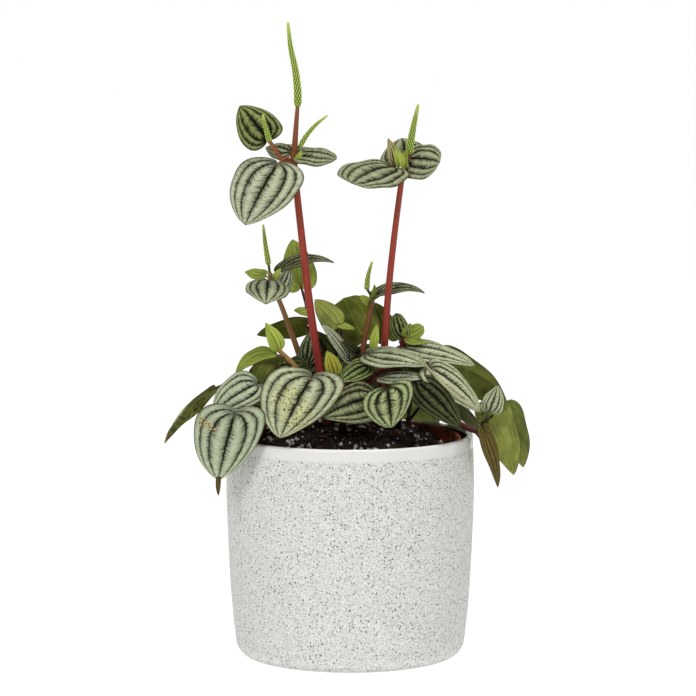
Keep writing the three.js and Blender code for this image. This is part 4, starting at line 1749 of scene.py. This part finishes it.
def draw_tube(
    mesh: Mesh,
    skin: Layer,
    spline: Spline,
    radius: Callable[[float], float],
    shade: Callable[[float], Shade],
    sides: int,
    steps: int,
) -> None:
    """Draws out a tube and colours it ring by ring.

    Args:
        mesh: The mesh that gets the tube.
        skin: The colour layer of stems.
        spline: The tube's middle line.
        radius: Gives the radius at a share of the length.
        shade: Gives the colour at a share of the length.
        sides: The number of sides.
        steps: The number of steps along the tube.
    """
    for number, ring in enumerate(sweep(mesh, spline, radius, sides, steps)):
        colour = linear(shade(number / steps))
        for vert in ring:
            vert[skin] = colour


@dataclass
class Stem:
    """A round stem through points, with its radius and colours at both ends."""

    points: Sequence[Point]
    radii: Pair
    tone: StemTone = StemTone.DARK_RED
    sides: int = 18

    def build(self, mesh: Mesh, skin: Layer) -> None:
        """Draws out the stem and colours it.

        Args:
            mesh: The mesh that gets the stem.
            skin: The colour layer of stems.
        """
        spline = Spline(self.points)
        start, end = self.radii
        foot, head = self.tone.value
        draw_tube(
            mesh, skin, spline,
            lambda share: start + (end - start) * share,
            lambda share: blend(foot, head, share),
            self.sides, max(6, round(spline.length / STEM_STEP)),
        )


def build_stalk(mesh: Mesh, skin: Layer, blade: Blade, tone: StemTone) -> None:
    """Draws out a blade's stalk, which takes on the leaf's own green towards the blade.

    Args:
        mesh: The mesh that gets the stalk.
        skin: The colour layer of stems.
        blade: The blade that it carries.
        tone: The stem's colours, used unless the stalk has its own.
    """
    stalk = blade.stalk
    _, _, up, _ = blade.axes()
    sunk = blade.point(SUNK_SHARE, 0.0) - up * SUNK_DEPTH
    spline = Spline([stalk.start, *stalk.via, blade.base, tuple(sunk)])
    radius = stalk.radius * STALK_SHARE
    foot, head = (stalk.tone or tone).value
    leaf = blade.tone.value.under
    draw_tube(
        mesh, skin, spline,
        lambda share: radius * (1.2 - 0.4 * share),
        lambda share: blend(blend(foot, head, share), leaf, 0.6 * ease(0.75, 1.0, share)),
        STALK_SIDES, max(8, round(spline.length / STALK_STEP)),
    )


@dataclass
class Spike:
    """A flower spike: a tapering rod covered with florets, on a thin stalk of its own or none."""

    name: str
    node: str
    points: Sequence[Point]
    radius: float
    peduncle: Sequence[Point] = ()
    florets: int = 8
    pitch: float = 1.35
    twist: float = 0.32
    hollow: float = 0.9
    rise: float = 0.26
    sides: int = 54
    step: float = 0.24
    peduncle_radius: float = 0.72
    peduncle_sides: int = 14
    peduncle_steps: int = 8

    def build(self, skin: Material) -> None:
        """Draws out the rod and raises its florets.

        Args:
            skin: The spike's finish.
        """
        mesh = bmesh.new()
        along = mesh.verts.layers.float.new("along")
        floret = mesh.verts.layers.float.new("floret")
        if self.peduncle:
            sweep(
                mesh, Spline(self.peduncle), lambda share: self.peduncle_radius,
                self.peduncle_sides, self.peduncle_steps,
            )
        spline = Spline(self.points)
        steps = round(spline.length / self.step)
        frames = spline.frames(steps)
        rings = sweep(mesh, spline, self._body, self.sides, steps)
        for number, ring in enumerate(rings):
            share = number / steps
            inverse = (TO_METRES @ frames[number]).inverted()
            centre = Vector(spline.at(share)) * MM
            for vert in ring:
                local = inverse @ vert.co
                raised = self._floret(math.atan2(local.y, local.x), share * spline.length)
                vert[along], vert[floret] = share, raised
                if 0 < number < steps:
                    vert.co = centre + (vert.co - centre) * (self.hollow + self.rise * raised)
        make_piece(self.name, mesh, [skin], "spike_green", [self.node], crease=70.0)

    def _body(self, share: float) -> float:
        """Shapes the rod: a narrow foot, a full body and a thin tip.

        Args:
            share: The share of the length.

        Returns:
            The radius, in millimetres.
        """
        foot = 0.72 + 0.28 * ease(0.0, 0.05, share)
        tip = 1 - 0.6 * ease(0.97, 1.0, share)
        return self.radius * (1 - 0.66 * share ** 1.6) * foot * tip

    def _floret(self, angle: float, length: float) -> float:
        """Gives how far a floret stands out at a place, from 0 to 1, in staggered rows."""
        row = math.cos(self.florets * angle + length * self.twist)
        return max(row * math.cos(math.pi * length / self.pitch), 0.0) ** 0.6


@dataclass
class Shoot:
    """A leafy shoot: its stem, side stems and leaves, with the stalks in the stems' mesh."""

    name: str
    stem: Stem
    leaves: Sequence[Blade]
    nodes: dict[str, str]
    leaf_slot: str = "leaf_silver"
    stem_slot: str = "stem_brown_red"
    extra: Sequence[Stem] = ()
    stalk_tone: StemTone = StemTone.DARK_RED
    separate_stem: bool = False

    def build(self, skin: Material, upper: Material, under: Material, first: int) -> None:
        """Builds the shoot's meshes and dresses them.

        Args:
            skin: The finish of stems.
            upper: The finish of the leaves' upper faces.
            under: The finish of their undersides.
            first: The number of its first leaf.
        """
        crown = self.nodes["crown"]
        if self.separate_stem:
            self._build_stems("stem_", [self.stem], (), skin, self.nodes["stem"])
            self._build_stems("stalks_", self.extra, self.leaves, skin, crown)
        else:
            self._build_stems("stems_", [self.stem, *self.extra], self.leaves, skin, crown)
        mesh = bmesh.new()
        layers = LeafLayers.add_to(mesh)
        for number, blade in enumerate(self.leaves, first):
            blade.build(mesh, layers, number)
        name = f"leaves_{self.name}"
        make_piece(name, mesh, [upper, under], self.leaf_slot, [crown], crease=62.0)

    def _build_stems(
        self,
        prefix: str,
        stems: Iterable[Stem],
        leaves: Iterable[Blade],
        skin: Material,
        node: str,
    ) -> None:
        """Makes one mesh of stems and of the leaves' stalks.

        Args:
            prefix: What the piece's name starts with.
            stems: The stems.
            leaves: The leaves, some without a stalk.
            skin: The finish of stems.
            node: The solid that the piece stands for.
        """
        mesh = bmesh.new()
        layer = mesh.verts.layers.float_color.new("skin")
        for stem in stems:
            stem.build(mesh, layer)
        for blade in leaves:
            if blade.stalk:
                build_stalk(mesh, layer, blade, self.stalk_tone)
        make_piece(prefix + self.name, mesh, [skin], self.stem_slot, [node])


def flowering(name: str, **parts: object) -> Shoot:
    """Gives a shoot whose stem and leafy crown stand for two solids."""
    nodes = {"stem": f"stem_{name}", "crown": f"crown_{name}"}
    return Shoot(name, nodes=nodes, separate_stem=True, **parts)


def leafy(name: str, **parts: object) -> Shoot:
    """Gives a shoot that stands for one solid."""
    return Shoot(name, nodes={"crown": f"shoot_{name}"}, **parts)


def rosette(name: str, x: float, y: float, *places: tuple) -> Shoot:
    """Gives a shoot of the rosette's back, whose leaves droop outwards over the pot.

    Args:
        name: The shoot's name.
        x: The place of its stem, from side to side.
        y: The same, from front to back.
        *places: For each leaf its azimuth, reach, height, droop, length, width and tone.

    Returns:
        The shoot.
    """
    stem = Stem([(x, y, 100), (x, y, 122)], (1.8, 1.5))
    leaves = [rosette_blade((x, y, 120), *place) for place in places]
    return leafy(name, stem=stem, leaves=leaves)


TALL_LEFT = flowering(
    "tall_left",
    stem=Stem([
        (-9.5, -9, 100), (-12, -9, 122), (-15.5, -8, 149),
        (-20.5, -7, 181), (-26, -5, 228), (-29.2, -4, 257.5),
    ], (2.35, 1.75), StemTone.CRIMSON),
    extra=[
        Stem([(-29.2, -4, 257), (-29.3, -4, 261), (-29, -4, 264.9)], (2.0, 1.8),
             StemTone.BROWN_RED),
        Stem([(-30, -5, 260), (-34.5, -9, 260.5), (-38.3, -11, 265.5), (-41.7, -12.6, 271)],
             (1.3, 1.05), StemTone.BROWN_RED),
    ],
    stem_slot="stem_crimson",
    stalk_tone=StemTone.BROWN_RED,
    leaves=[
        Blade((-37.5, -12, 258.5), (-54, -22, 228), 36, (-0.25, -1, 0.35), Tone.SILVER,
              Stalk((-30, -5, 259), ((-33, -9, 262),)),
              Form(lobe=0.62, skew=-0.16, taper=0.8, lopsided=0.06)),
        Blade((-43.5, -8.5, 272), (-57.3, 0, 288.3), 23, (0.1, -1, 0.4), Tone.MURKY,
              Stalk((-40, -11, 268)), Form(phase=0.3)),
        Blade((-26.5, 0, 263.5), (-7, -3, 261), 24, (0.05, -0.35, 1), Tone.DUSKY,
              Stalk((-29, -4, 262)), Form(phase=0.6, taper=0.55)),
        Blade((-31.5, 0, 264.5), (-44, 4, 266.5), 20, (0, -0.4, 1), Tone.DUSKY,
              Stalk((-29.3, -3.8, 262))),
        Blade((-28, -6, 260), (-25, -8, 266), 3.4, (0.3, -1, 0.3), Tone.LIME,
              Stalk((-29, -4.5, 260), radius=0.7, tone=StemTone.LIME), Form(fold=0.4)),
    ],
)

TALL_RIGHT = flowering(
    "tall_right",
    stem=Stem([
        (14, -5, 100), (15.5, -5, 130), (17.9, -5, 163.5),
        (19.9, -5, 192), (22.8, -5, 220), (26.8, -5, 251.5),
    ], (2.2, 1.5), StemTone.CRIMSON),
    extra=[
        Stem([(26.8, -5, 251.2), (27.7, -5, 255.2), (28.6, -5, 259.5)], (1.8, 1.6),
             StemTone.BROWN_RED),
    ],
    stem_slot="stem_crimson",
    stalk_tone=StemTone.BROWN_RED,
    leaves=[
        Blade((22, -9, 256.5), (0.8, -28, 250), 33, (-0.12, -0.52, 0.85), Tone.DUSKY,
              Stalk((27, -5, 255.5)), Form(phase=0.2, skew=-0.1, taper=0.44, lopsided=0.14)),
        Blade((31, -1, 260.5), (46.5, -7, 259.5), 24, (0.1, -0.8, 0.65), Tone.DUSKY,
              Stalk((28, -5, 257)), Form(phase=0.5, taper=0.5)),
        Blade((29.5, 0, 259.5), (27, 10, 271), 27, (0, -0.75, 0.65), Tone.DUSKY,
              Stalk((28, -5, 256.5))),
        Blade((22.8, -6.5, 257), (19.6, -6, 272), 6, (0.3, -1, 0), Tone.CREAM,
              Stalk((27, -5, 254.5)), Form(fold=0.7, lobe=0.2)),
        Blade((25, -7.5, 256.8), (22.8, -8.2, 268), 3.2, (0.3, -1, 0.1), Tone.LIME,
              Stalk((28, -5, 255.5), radius=0.6, tone=StemTone.LIME), Form(fold=0.5, lobe=0.2)),
        Blade((28, -7, 257.5), (24.6, -8, 265.5), 4.5, (0.3, -1, 0.2), Tone.LIME,
              Stalk((28, -5.5, 256), radius=0.7, tone=StemTone.LIME), Form(fold=0.5)),
        Blade((27.8, -6.5, 258), (29.4, -8, 267), 4, (-0.2, -1, 0.1), Tone.YOUNG,
              Stalk((28, -5.5, 257), radius=0.7, tone=StemTone.LIME), Form(fold=0.6)),
    ],
)

LEFT_MIDDLE = flowering(
    "left_middle",
    stem=Stem([
        (-19, 3, 100), (-20.5, 3, 125), (-23, 3, 145),
        (-26.8, 2, 158.3), (-34.9, 0, 181.3), (-41, -3, 197),
    ], (2.1, 1.2), StemTone.OCHRE),
    extra=[
        Stem([(-41, -3, 196.6), (-41.3, -3, 198.7), (-41.8, -3.1, 201.6)], (1.5, 1.2),
             StemTone.OCHRE),
    ],
    stem_slot="stem_ochre",
    stalk_tone=StemTone.OLIVE,
    leaves=[
        Blade((-42.5, -8, 198), (-43.5, -26, 187.5), 23, (0.05, -0.55, 0.83), Tone.PALE,
              Stalk((-41.3, -3, 198.7)), Form(cup=0.2)),
        Blade((-45, 0, 200.3), (-55, 2, 201.5), 12, (0, -0.4, 0.92), Tone.YOUNG,
              Stalk((-41.3, -3, 198.2), radius=0.8, tone=StemTone.LIME)),
        Blade((-38, 5, 201), (-8.5, 8, 206), 15, (0.05, -0.3, 1), Tone.GREY,
              Stalk((-41, -2.4, 198.2), radius=0.9), Form(arch=0.2, lobe=0.5)),
        Blade((-36, 1, 193), (-31.5, 0, 204), 10, (0.4, -1, 0.2), Tone.SILVER,
              Stalk((-41.2, -2.4, 199), ((-38, 1, 197),))),
        Blade((-39.5, -4.5, 199.5), (-36, -5, 204.5), 3, (0.3, -1, 0.3), Tone.LIME,
              Stalk((-41, -3, 198.8), radius=0.7, tone=StemTone.LIME)),
    ],
)

RIGHT_MIDDLE = flowering(
    "right_middle",
    stem=Stem([(4, 6, 100), (5, 6, 130), (6.6, 6, 159.6), (9, 6, 173), (11.2, 6, 185)], (2, 1.3),
              StemTone.BROWN_RED),
    extra=[
        Stem([(11.2, 6, 184.7), (11.3, 6, 186.6), (11.2, 6, 188.9)], (1.6, 1.3), StemTone.OLIVE),
    ],
    leaf_slot="leaf_young",
    stalk_tone=StemTone.OLIVE,
    leaves=[
        Blade((14, 7, 188), (39, 8, 190), 15, (0, -0.3, 1), Tone.GREY, Stalk((11.3, 6, 186.6)),
              Form(arch=0.22)),
        Blade((12.2, 4, 188), (12.6, 3.5, 195), 3, (0.5, -1, 0), Tone.YOUNG,
              Stalk((11.3, 5.6, 186.8), radius=0.7)),
        Blade((9.2, 2.8, 186), (4.8, 2, 189), 5, (0, -0.8, 0.6), Tone.YOUNG,
              Stalk((11.2, 5.6, 186), radius=0.6)),
    ],
)

SHOOTS = [
    leafy(
        "left_young",
        stem=Stem([(-20, -13, 100), (-23, -13, 138), (-28, -14, 153), (-37, -15, 162.5)],
                  (1.7, 1.2), StemTone.ORANGE),
        leaf_slot="leaf_young",
        stalk_tone=StemTone.OLIVE,
        leaves=[
            Blade((-37, -15, 162), (-44, -17, 177), 9, (0.3, -1, 0.2), Tone.LIME, None,
                  Form(fold=0.6, lobe=0.2)),
            Blade((-38, -17, 160), (-59.5, -22, 150), 14, (-0.3, -0.5, 0.9), Tone.YOUNG,
                  Stalk((-34, -15, 159)), Form(arch=0.2, lobe=0.3, fold=0.3)),
            Blade((-38, -11, 158), (-53, -9, 148.5), 20, (-0.5, 0.5, 0.8), Tone.BACKLIT,
                  Stalk((-31, -14, 156))),
            Blade((-30, -20, 151), (-39, -24, 151), 10, (0, -0.7, 0.7), Tone.SILVER,
                  Stalk((-25, -13.5, 145))),
            Blade((-22.5, -3, 156), (-20, -2.5, 171), 11, (-0.3, -0.8, 0.3), Tone.GREY,
                  Stalk((-23, -13, 140))),
            Blade((-24, -8, 153), (-40, -11, 145), 17, (-0.2, -0.8, 0.55), Tone.SHADE,
                  Stalk((-23.5, -13, 142))),
            Blade((-40, -6, 155), (-50, -15, 137), 19, (0.1, 0.85, 0.5), Tone.BACKLIT,
                  Stalk((-24, -13, 140))),
        ],
    ),
    leafy(
        "left_low",
        stem=Stem([(-33, -19, 100), (-34, -20, 125), (-37, -22, 138)], (1.8, 1.3)),
        leaves=[
            Blade((-48.5, -34, 146.5), (-70, -44, 133), 24.5, (-0.3, -0.75, 0.55), Tone.BRIGHT,
                  Stalk((-37, -22, 136)), Form(lopsided=0.16)),
            Blade((-59, -52, 133.5), (-67.5, -46, 99), 35.5, (-0.12, -0.98, 0.1), Tone.BRIGHT,
                  Stalk((-36, -21, 130), ((-50, -38, 133),)),
                  Form(lobe=0.95, skew=-0.22, lopsided=0.08, pinch=0.9),
                  scars=(Spot(0.3, -0.82, 2.7), Spot(0.28, -0.6, 2.4), Spot(0.29, -0.4, 1.8))),
            Blade((-67, -46.6, 104), (-67.5, -46, 91), 2.8, (-0.35, -0.92, 0.1), Tone.BROWN, None,
                  Form(lobe=0, taper=0.7)),
            Blade((-71, -13, 142), (-96.5, -17, 114), 24, (-0.65, 0.3, 0.7), Tone.OLIVE,
                  Stalk((-37, -21.5, 137), ((-52, -15, 147),)), Form(lobe=0.5),
                  scars=(Spot(0.98, 0.0, 6.0),), specks=(Spot(0.55, 0.1, 22.0),)),
        ],
    ),
    leafy(
        "back_upright",
        stem=Stem([(-12, 13, 100), (-14, 13, 140), (-19, 13, 168), (-23, 13, 184)], (1.6, 1.2)),
        leaf_slot="leaf_olive",
        leaves=[
            Blade((-26, 15, 193.5), (-30.5, 18, 217.5), 20, (0.25, 0.9, 0.35), Tone.LIME,
                  Stalk((-23, 13, 183))),
            Blade((-22.5, 11, 180), (-29.5, 10, 180.5), 8, (0, -0.5, 0.9), Tone.LIME,
                  Stalk((-22, 12.6, 179))),
            Blade((-23.5, 14.5, 172), (-49, 11, 167.5), 20, (0, 0.62, 0.78), Tone.OLIVE,
                  Stalk((-18.5, 13, 165))),
        ],
    ),
    leafy(
        "centre",
        stem=Stem([(2, 14, 100), (0, 13, 135), (-2, 12, 152)], (1.7, 1.3)),
        leaf_slot="leaf_olive",
        leaves=[
            Blade((-6, 11, 172.5), (-18.5, 9, 186.5), 13, (-0.4, 0.8, 0.5), Tone.BACKLIT,
                  Stalk((-2, 12, 150)), Form(lobe=0.4)),
            Blade((-5.5, 10, 173), (2.5, 9.5, 170.5), 6, (0, -0.5, 0.9), Tone.YOUNG,
                  Stalk((-4.6, 11, 168), radius=0.8)),
            Blade((6.5, 18, 165.5), (-3.5, 16, 186.5), 25, (-0.25, 0.8, 0.5), Tone.OLIVE,
                  Stalk((0, 13, 140), ((5, 16, 156),)), Form(taper=0.45)),
            Blade((20, 19, 165), (13, 18, 184), 16, (0.3, 0.8, 0.5), Tone.OLIVE,
                  Stalk((0, 13, 145), ((12, 16, 156),))),
        ],
    ),
    leafy(
        "centre_front",
        stem=Stem([(-3, -3, 100), (-2, -4, 140), (-1, -4, 156)], (1.6, 1.2)),
        leaf_slot="leaf_young",
        leaves=[
            Blade((-1, -4, 157), (-15.5, -3, 175), 11, (0.6, -0.55, 0.6), Tone.SILVER),
            Blade((4, -5, 160), (-4.5, -6, 166), 6, (0.3, -0.8, 0.5), Tone.DARK,
                  Stalk((-1.2, -4, 154))),
            Blade((1, 3, 158), (-15, -1, 146), 19, (-0.1, -0.8, 0.6), Tone.SHADE,
                  Stalk((-1.5, -4, 150))),
            Blade((-8, 4, 153), (-19, 2, 171), 15, (-0.2, -0.9, 0.3), Tone.SHADE,
                  Stalk((-1.8, -4, 146))),
            Blade((-12, 0, 156), (-26, -3, 147), 15, (-0.1, -0.8, 0.6), Tone.SHADE,
                  Stalk((-1.8, -4, 144))),
            Blade((4, 4, 157), (25, -2, 145), 23, (0.1, -0.75, 0.65), Tone.SHADE,
                  Stalk((-1, -4, 153))),
            Blade((-8, -24, 150), (-12.3, -25, 163.5), 9, (0.2, -1, 0.2), Tone.MUSTARD,
                  Stalk((-2, -4, 141), ((-5, -15, 143),)), Form(fold=0.7, lobe=0.2)),
        ],
    ),
    leafy(
        "front",
        stem=Stem([(-4, -15, 100), (-4, -18, 120), (-4, -26, 133)], (1.8, 1.4)),
        leaves=[
            Blade((-20, -40, 150.8), (-35.8, -57, 122), 39, (0, -0.82, 0.56), Tone.PALE,
                  Stalk((-4, -25, 131), ((-11, -31, 147),)),
                  Form(lobe=0.95, skew=-0.26, lopsided=0.09, pinch=0.9),
                  specks=(Spot(0.42, -0.28, 10.0), Spot(0.62, 0.15, 10.0))),
            Blade((12, -36, 140), (-14.5, -48, 131.5), 28, (-0.2, -0.75, 0.6), Tone.GREY,
                  Stalk((-4, -22, 126), ((6, -30, 138),))),
            Blade((19, -50, 146), (21, -57, 127.5), 27, (0.1, -1, 0.35), Tone.GREEN,
                  Stalk((-4, -25.5, 132), ((12, -35, 138),)),
                  Form(skew=-0.28, lobe=0.95, pinch=0.9)),
        ],
    ),
    leafy(
        "right",
        stem=Stem([(3, -11, 100), (2, -13, 125), (2, -18, 142)], (1.8, 1.4)),
        extra=[
            Stem([(2.2, -19, 143), (9, -22, 146.5), (20.5, -24, 153.5)], (1.2, 0.9)),
            Stem([(35.4, -30, 162.5), (38.9, -33, 156.9), (44, -35, 151), (50.1, -37, 145.2),
                  (56.3, -37, 140), (65.6, -33, 134.5)], (0.5, 0.95), StemTone.CURL, 12),
        ],
        leaves=[
            Blade((10.3, -20, 160.8), (39.5, -28, 155.5), 26, (0.1, -0.33, 0.95), Tone.PALE,
                  Stalk((2, -18, 141), ((6, -18, 154),))),
            Blade((11.5, -14, 163), (14, -15, 176.5), 4.8, (0.1, -1, 0.2), Tone.LIME,
                  Stalk((2, -18, 140), ((8, -14, 155),)), Form(fold=0.6, lobe=0.2)),
            Blade((8, -20, 155), (-5.5, -27, 147), 15, (-0.2, -0.7, 0.7), Tone.DEEP,
                  Stalk((2, -18, 141))),
            Blade((17, -26, 150), (38.5, -31, 149.5), 17, (0.1, -0.35, 0.93), Tone.SILVER,
                  Stalk((2, -18, 139), ((10, -23, 146),))),
            Blade((42, -24, 153.5), (67, -30, 132), 24, (0.45, -0.6, 0.65), Tone.PALE,
                  Stalk((2, -18, 141), ((5, -22, 147), (24, -24, 153.5), (34, -22, 149.5)))),
            Blade((34.5, -33, 148), (56.8, -42, 125.5), 19, (0.25, -0.9, 0.4), Tone.DARK,
                  Stalk((2, -16, 136), ((20, -29, 136),)), Form(lobe=0.5)),
        ],
    ),
    leafy(
        "right_back",
        stem=Stem([(25, 6, 100), (26, 6, 140), (26.5, 5, 158), (28, 3, 168)], (1.7, 1.2)),
        leaf_slot="leaf_young",
        leaves=[
            Blade((29, 4, 162), (65.4, -2, 152.6), 25, (0.12, -0.35, 0.93), Tone.PALE,
                  Stalk((26.5, 5, 158))),
            Blade((27.5, 3, 168), (24, 3, 180), 10, (-0.3, -1, 0.2), Tone.DEEP, None,
                  Form(fold=0.4, taper=0.55)),
            Blade((28.6, 2, 167.5), (31.5, 1, 175), 6, (0.2, -1, 0.2), Tone.YOUNG, None,
                  Form(fold=0.5, lobe=0.2)),
            Blade((29.5, 2, 167.5), (38.5, 1, 173), 8.5, (-0.2, -1, 0.3), Tone.YOUNG, None,
                  Form(taper=0.5)),
            Blade((28.5, 2, 166.5), (40, 0, 164), 8, (0, -0.5, 0.9), Tone.YOUNG, None,
                  Form(lobe=0.2)),
            Blade((25, 4, 156.5), (52, -2, 148), 22, (0.1, -0.7, 0.7), Tone.SHADE,
                  Stalk((26.3, 5, 152))),
        ],
    ),
    leafy(
        "over_right",
        stem=Stem([
            (22, -10, 100), (22, -10, 113), (23, -10, 126), (31, -13, 138),
            (42, -14, 137), (52, -15, 128), (60, -16.5, 122.4), (68, -18, 119.5),
        ], (1.9, 1.4), StemTone.ROSE),
        leaf_slot="leaf_olive",
        stalk_tone=StemTone.OLIVE,
        leaves=[
            Blade((49, 22, 152.5), (83, 8, 129.5), 30, (0.4, 0.7, 0.6), Tone.BACKLIT,
                  Stalk((30, -13, 138), ((38, 4, 146),)), Form(arch=0.16, lopsided=-0.22)),
            Blade((74, -4, 131), (85.5, -8, 96), 26, (0.55, 0.75, 0.35), Tone.BACKLIT,
                  Stalk((67, -17.5, 120.5), ((70, -10, 126),)), specks=(Spot(0.25, 0.75, 5.0),)),
            Blade((82, 9, 129), (91, 6, 98), 27, (0.7, 0.6, 0.35), Tone.BACKLIT,
                  Stalk((66, -17, 121), ((74, -2, 126),))),
            Blade((72, -10, 130), (76.8, -12, 144), 12.5, (0.3, -1, 0.3), Tone.PALE,
                  Stalk((67, -17.2, 120), ((72, -12, 125),), 0.7, StemTone.LIME),
                  Form(fold=0.5, wave=0.07, lobe=0.4)),
            Blade((69, -22, 121), (76.5, -24, 92), 14, (0.8, -0.55, 0.2), Tone.BROWN,
                  Stalk((66, -17.5, 120.5))),
        ],
    ),
    rosette(
        "back_left", -28, 24,
        (160, 44, 143, 35, 32, 30, Tone.SILVER),
        (143, 42, 147, 38, 34, 31, Tone.PALE),
        (128, 64, 133, 66, 36, 32, Tone.BRIGHT),
        (150, 72, 128, 74, 32, 30, Tone.SILVER),
    ),
    rosette(
        "back_middle", 3, 36,
        (101, 42, 146, 34, 33, 31, Tone.SILVER),
        (78, 44, 140, 45, 32, 29, Tone.GREEN),
        (92, 68, 130, 72, 36, 33, Tone.SILVER),
        (108, 22, 152, 15, 24, 22, Tone.YOUNG),
    ),
    rosette(
        "back_right", 31, 27,
        (47, 46, 142, 42, 34, 30, Tone.SILVER),
        (22, 56, 134, 52, 34, 28, Tone.GREY),
        (60, 68, 130, 70, 34, 30, Tone.BRIGHT),
    ),
]

SPIKES = [
    Spike("florets_tall_left", "spike_tall_left",
          [(-27.2, -4, 288.3), (-27.2, -4, 296), (-28.3, -4, 306.5), (-30.9, -4, 319.5),
           (-32.2, -4, 332)], 2.0),
    Spike("florets_tall_left_branch", "spike_tall_left_branch",
          [(-41.6, -12.6, 270.6), (-43.5, -13, 277.5), (-45.2, -13, 284.6)], 1.45, florets=7),
    Spike("florets_tall_left_side", "spike_tall_left_side",
          [(-26, -4.5, 267.8), (-21.9, -5, 274.3), (-17.3, -5, 279.3), (-11.6, -5, 283.8)], 1.3,
          peduncle=[(-28.5, -4.2, 265.8), (-27.3, -4.4, 266.8), (-26, -4.5, 268.1)], florets=7),
    Spike("florets_tall_right", "spike_tall_right",
          [(30.4, -5, 264.1), (31.6, -5, 271.5), (33.4, -5, 281), (35.3, -5, 289.6)], 1.95),
    Spike("florets_left_middle", "spike_left_middle",
          [(-42.5, -3, 206), (-44, -3, 215.5), (-45.3, -3, 227)], 1.4,
          peduncle=[(-41.8, -3.1, 201.1), (-42.1, -3, 203), (-42.5, -3, 206.4)], florets=7),
    Spike("florets_right_middle", "spike_right_middle",
          [(8.6, 5, 192.2), (9.4, 5, 199.5), (11.5, 5, 207)], 1.4,
          peduncle=[(11.2, 6, 188.4), (10.2, 5.7, 190.2), (8.7, 5, 192.6)], florets=7),
]

PEDUNCLES = {
    "tall_left": Stem(
        [(-29, -4, 264), (-28.2, -4, 276), (-27.2, -4, 289)], (1.65, 1.0), StemTone.BROWN_RED),
    "tall_right": Stem(
        [(28.5, -5, 258.6), (29.4, -5, 261.5), (30.4, -5, 264.8)], (1.3, 1.1), StemTone.BROWN_RED),
}


# Studio


@dataclass
class Studio:
    """The pale floor, the soft lights and the camera."""

    eye: Point = (0.0, -1900.0, 374.0)
    pitch: float = 6.368
    focal_pixels: float = 3656.0
    frame_pixels: int = 696
    axis_offset: float = 2.2
    sensor: float = 36.0
    clip: Pair = (0.05, 200.0)
    floor_size: float = 60.0
    floor_sides: int = 96
    target: Point = (0.0, 0.0, 0.16)
    lamps: tuple[tuple[str, Point, float, float], ...] = (
        ("key", (-0.9, -1.5, 1.4), 0.7, 16.0),
        ("fill", (1.1, -1.6, 1.0), 0.8, 8.0),
        ("top", (0.2, 0.1, 1.8), 0.6, 19.0),
    )
    ambient: float = 0.12

    def _camera(self) -> None:
        """Sets the camera at the photograph's viewing angle."""
        data = bpy.data.cameras.new("camera")
        data.sensor_width = self.sensor
        data.lens = self.focal_pixels * self.sensor / self.frame_pixels
        data.shift_x = -self.axis_offset / self.frame_pixels
        data.clip_start, data.clip_end = self.clip
        camera = place_object("camera", data)
        camera.location = Vector(self.eye) * MM
        camera.rotation_euler = (math.radians(90 - self.pitch), 0.0, 0.0)
        bpy.context.scene.camera = camera

    def _light(self, name: str, place: Point, size: float, power: float) -> None:
        """Hangs one square soft light.

        Args:
            name: The light's name.
            place: Where it hangs, in metres.
            size: The length of its sides, in metres.
            power: Its power, in watts.
        """
        data = bpy.data.lights.new(name, "AREA")
        data.shape, data.size, data.energy = "SQUARE", size, power
        light = place_object(name, data)
        light.location = place
        aim = Vector(self.target) - Vector(place)
        light.rotation_euler = aim.to_track_quat("-Z", "Y").to_euler()

    def _floor(self, paint: Material) -> None:
        """Lays the floor.

        Args:
            paint: The floor's finish.
        """
        mesh = bmesh.new()
        bmesh.ops.create_circle(
            mesh, cap_ends=True, radius=self.floor_size, segments=self.floor_sides)
        data = bpy.data.meshes.new("floor")
        mesh.to_mesh(data)
        mesh.free()
        data.materials.append(paint)
        floor = place_object("floor", data)
        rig.stage(floor)

    def build(self, paint: Material) -> None:
        """Lays the floor, hangs the lights and sets the camera.

        Args:
            paint: The floor's finish.
        """
        self._floor(paint)
        for lamp in self.lamps:
            self._light(*lamp)
        world = bpy.data.worlds.new("studio")
        world.use_nodes = True
        background = world.node_tree.nodes["Background"]
        background.inputs["Color"].default_value = WHITE
        background.inputs["Strength"].default_value = self.ambient
        bpy.context.scene.world = world
        bpy.context.scene.view_settings.view_transform = "Standard"
        self._camera()


def build_peduncles(skin: Material) -> None:
    """Makes the bare flower stalks of the two tall stems.

    Args:
        skin: The finish of stems.
    """
    for name, stem in PEDUNCLES.items():
        mesh = bmesh.new()
        stem.build(mesh, mesh.verts.layers.float_color.new("skin"))
        make_piece(f"flower_stalk_{name}", mesh, [skin], "stem_brown_red", [f"peduncle_{name}"])


def save_sizes(solids: tuple[Vector, Vector], dressed: tuple[Vector, Vector]) -> None:
    """Writes the two boxes as plain lists of numbers.

    Args:
        solids: The lowest and highest corners of the solids.
        dressed: The same of the dressed part.
    """
    boxes = {"cad": [list(corner) for corner in solids], "visual": [list(corner) for corner in dressed]}
    with open("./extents.json", "w", encoding="utf-8") as file:
        json.dump(boxes, file)


def main() -> None:
    """Builds every piece in order and writes the sizes."""
    logging.basicConfig(level=logging.INFO, format="%(name)s: %(message)s")
    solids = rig.bounds()
    Studio().build(FloorPaint().material())
    CoverPot().build(Glaze().material(), INNER_WALL_SHADE.material())
    pot = GrowPot()
    pot.build(GrowPotPlastic().material())
    SoilBed(pot).build(BED_SOIL.material())
    skin, upper, under = StemSkin().material(), LeafUpper().material(), LeafUnder().material()
    first = 0
    for shoot in (TALL_LEFT, TALL_RIGHT, LEFT_MIDDLE, RIGHT_MIDDLE, *SHOOTS):
        shoot.build(skin, upper, under, first)
        first += len(shoot.leaves)
    build_peduncles(skin)
    spike_skin = SpikeSkin().material()
    for spike in SPIKES:
        spike.build(spike_skin)
    save_sizes(solids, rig.bounds())


if __name__ == "__main__":
    main()
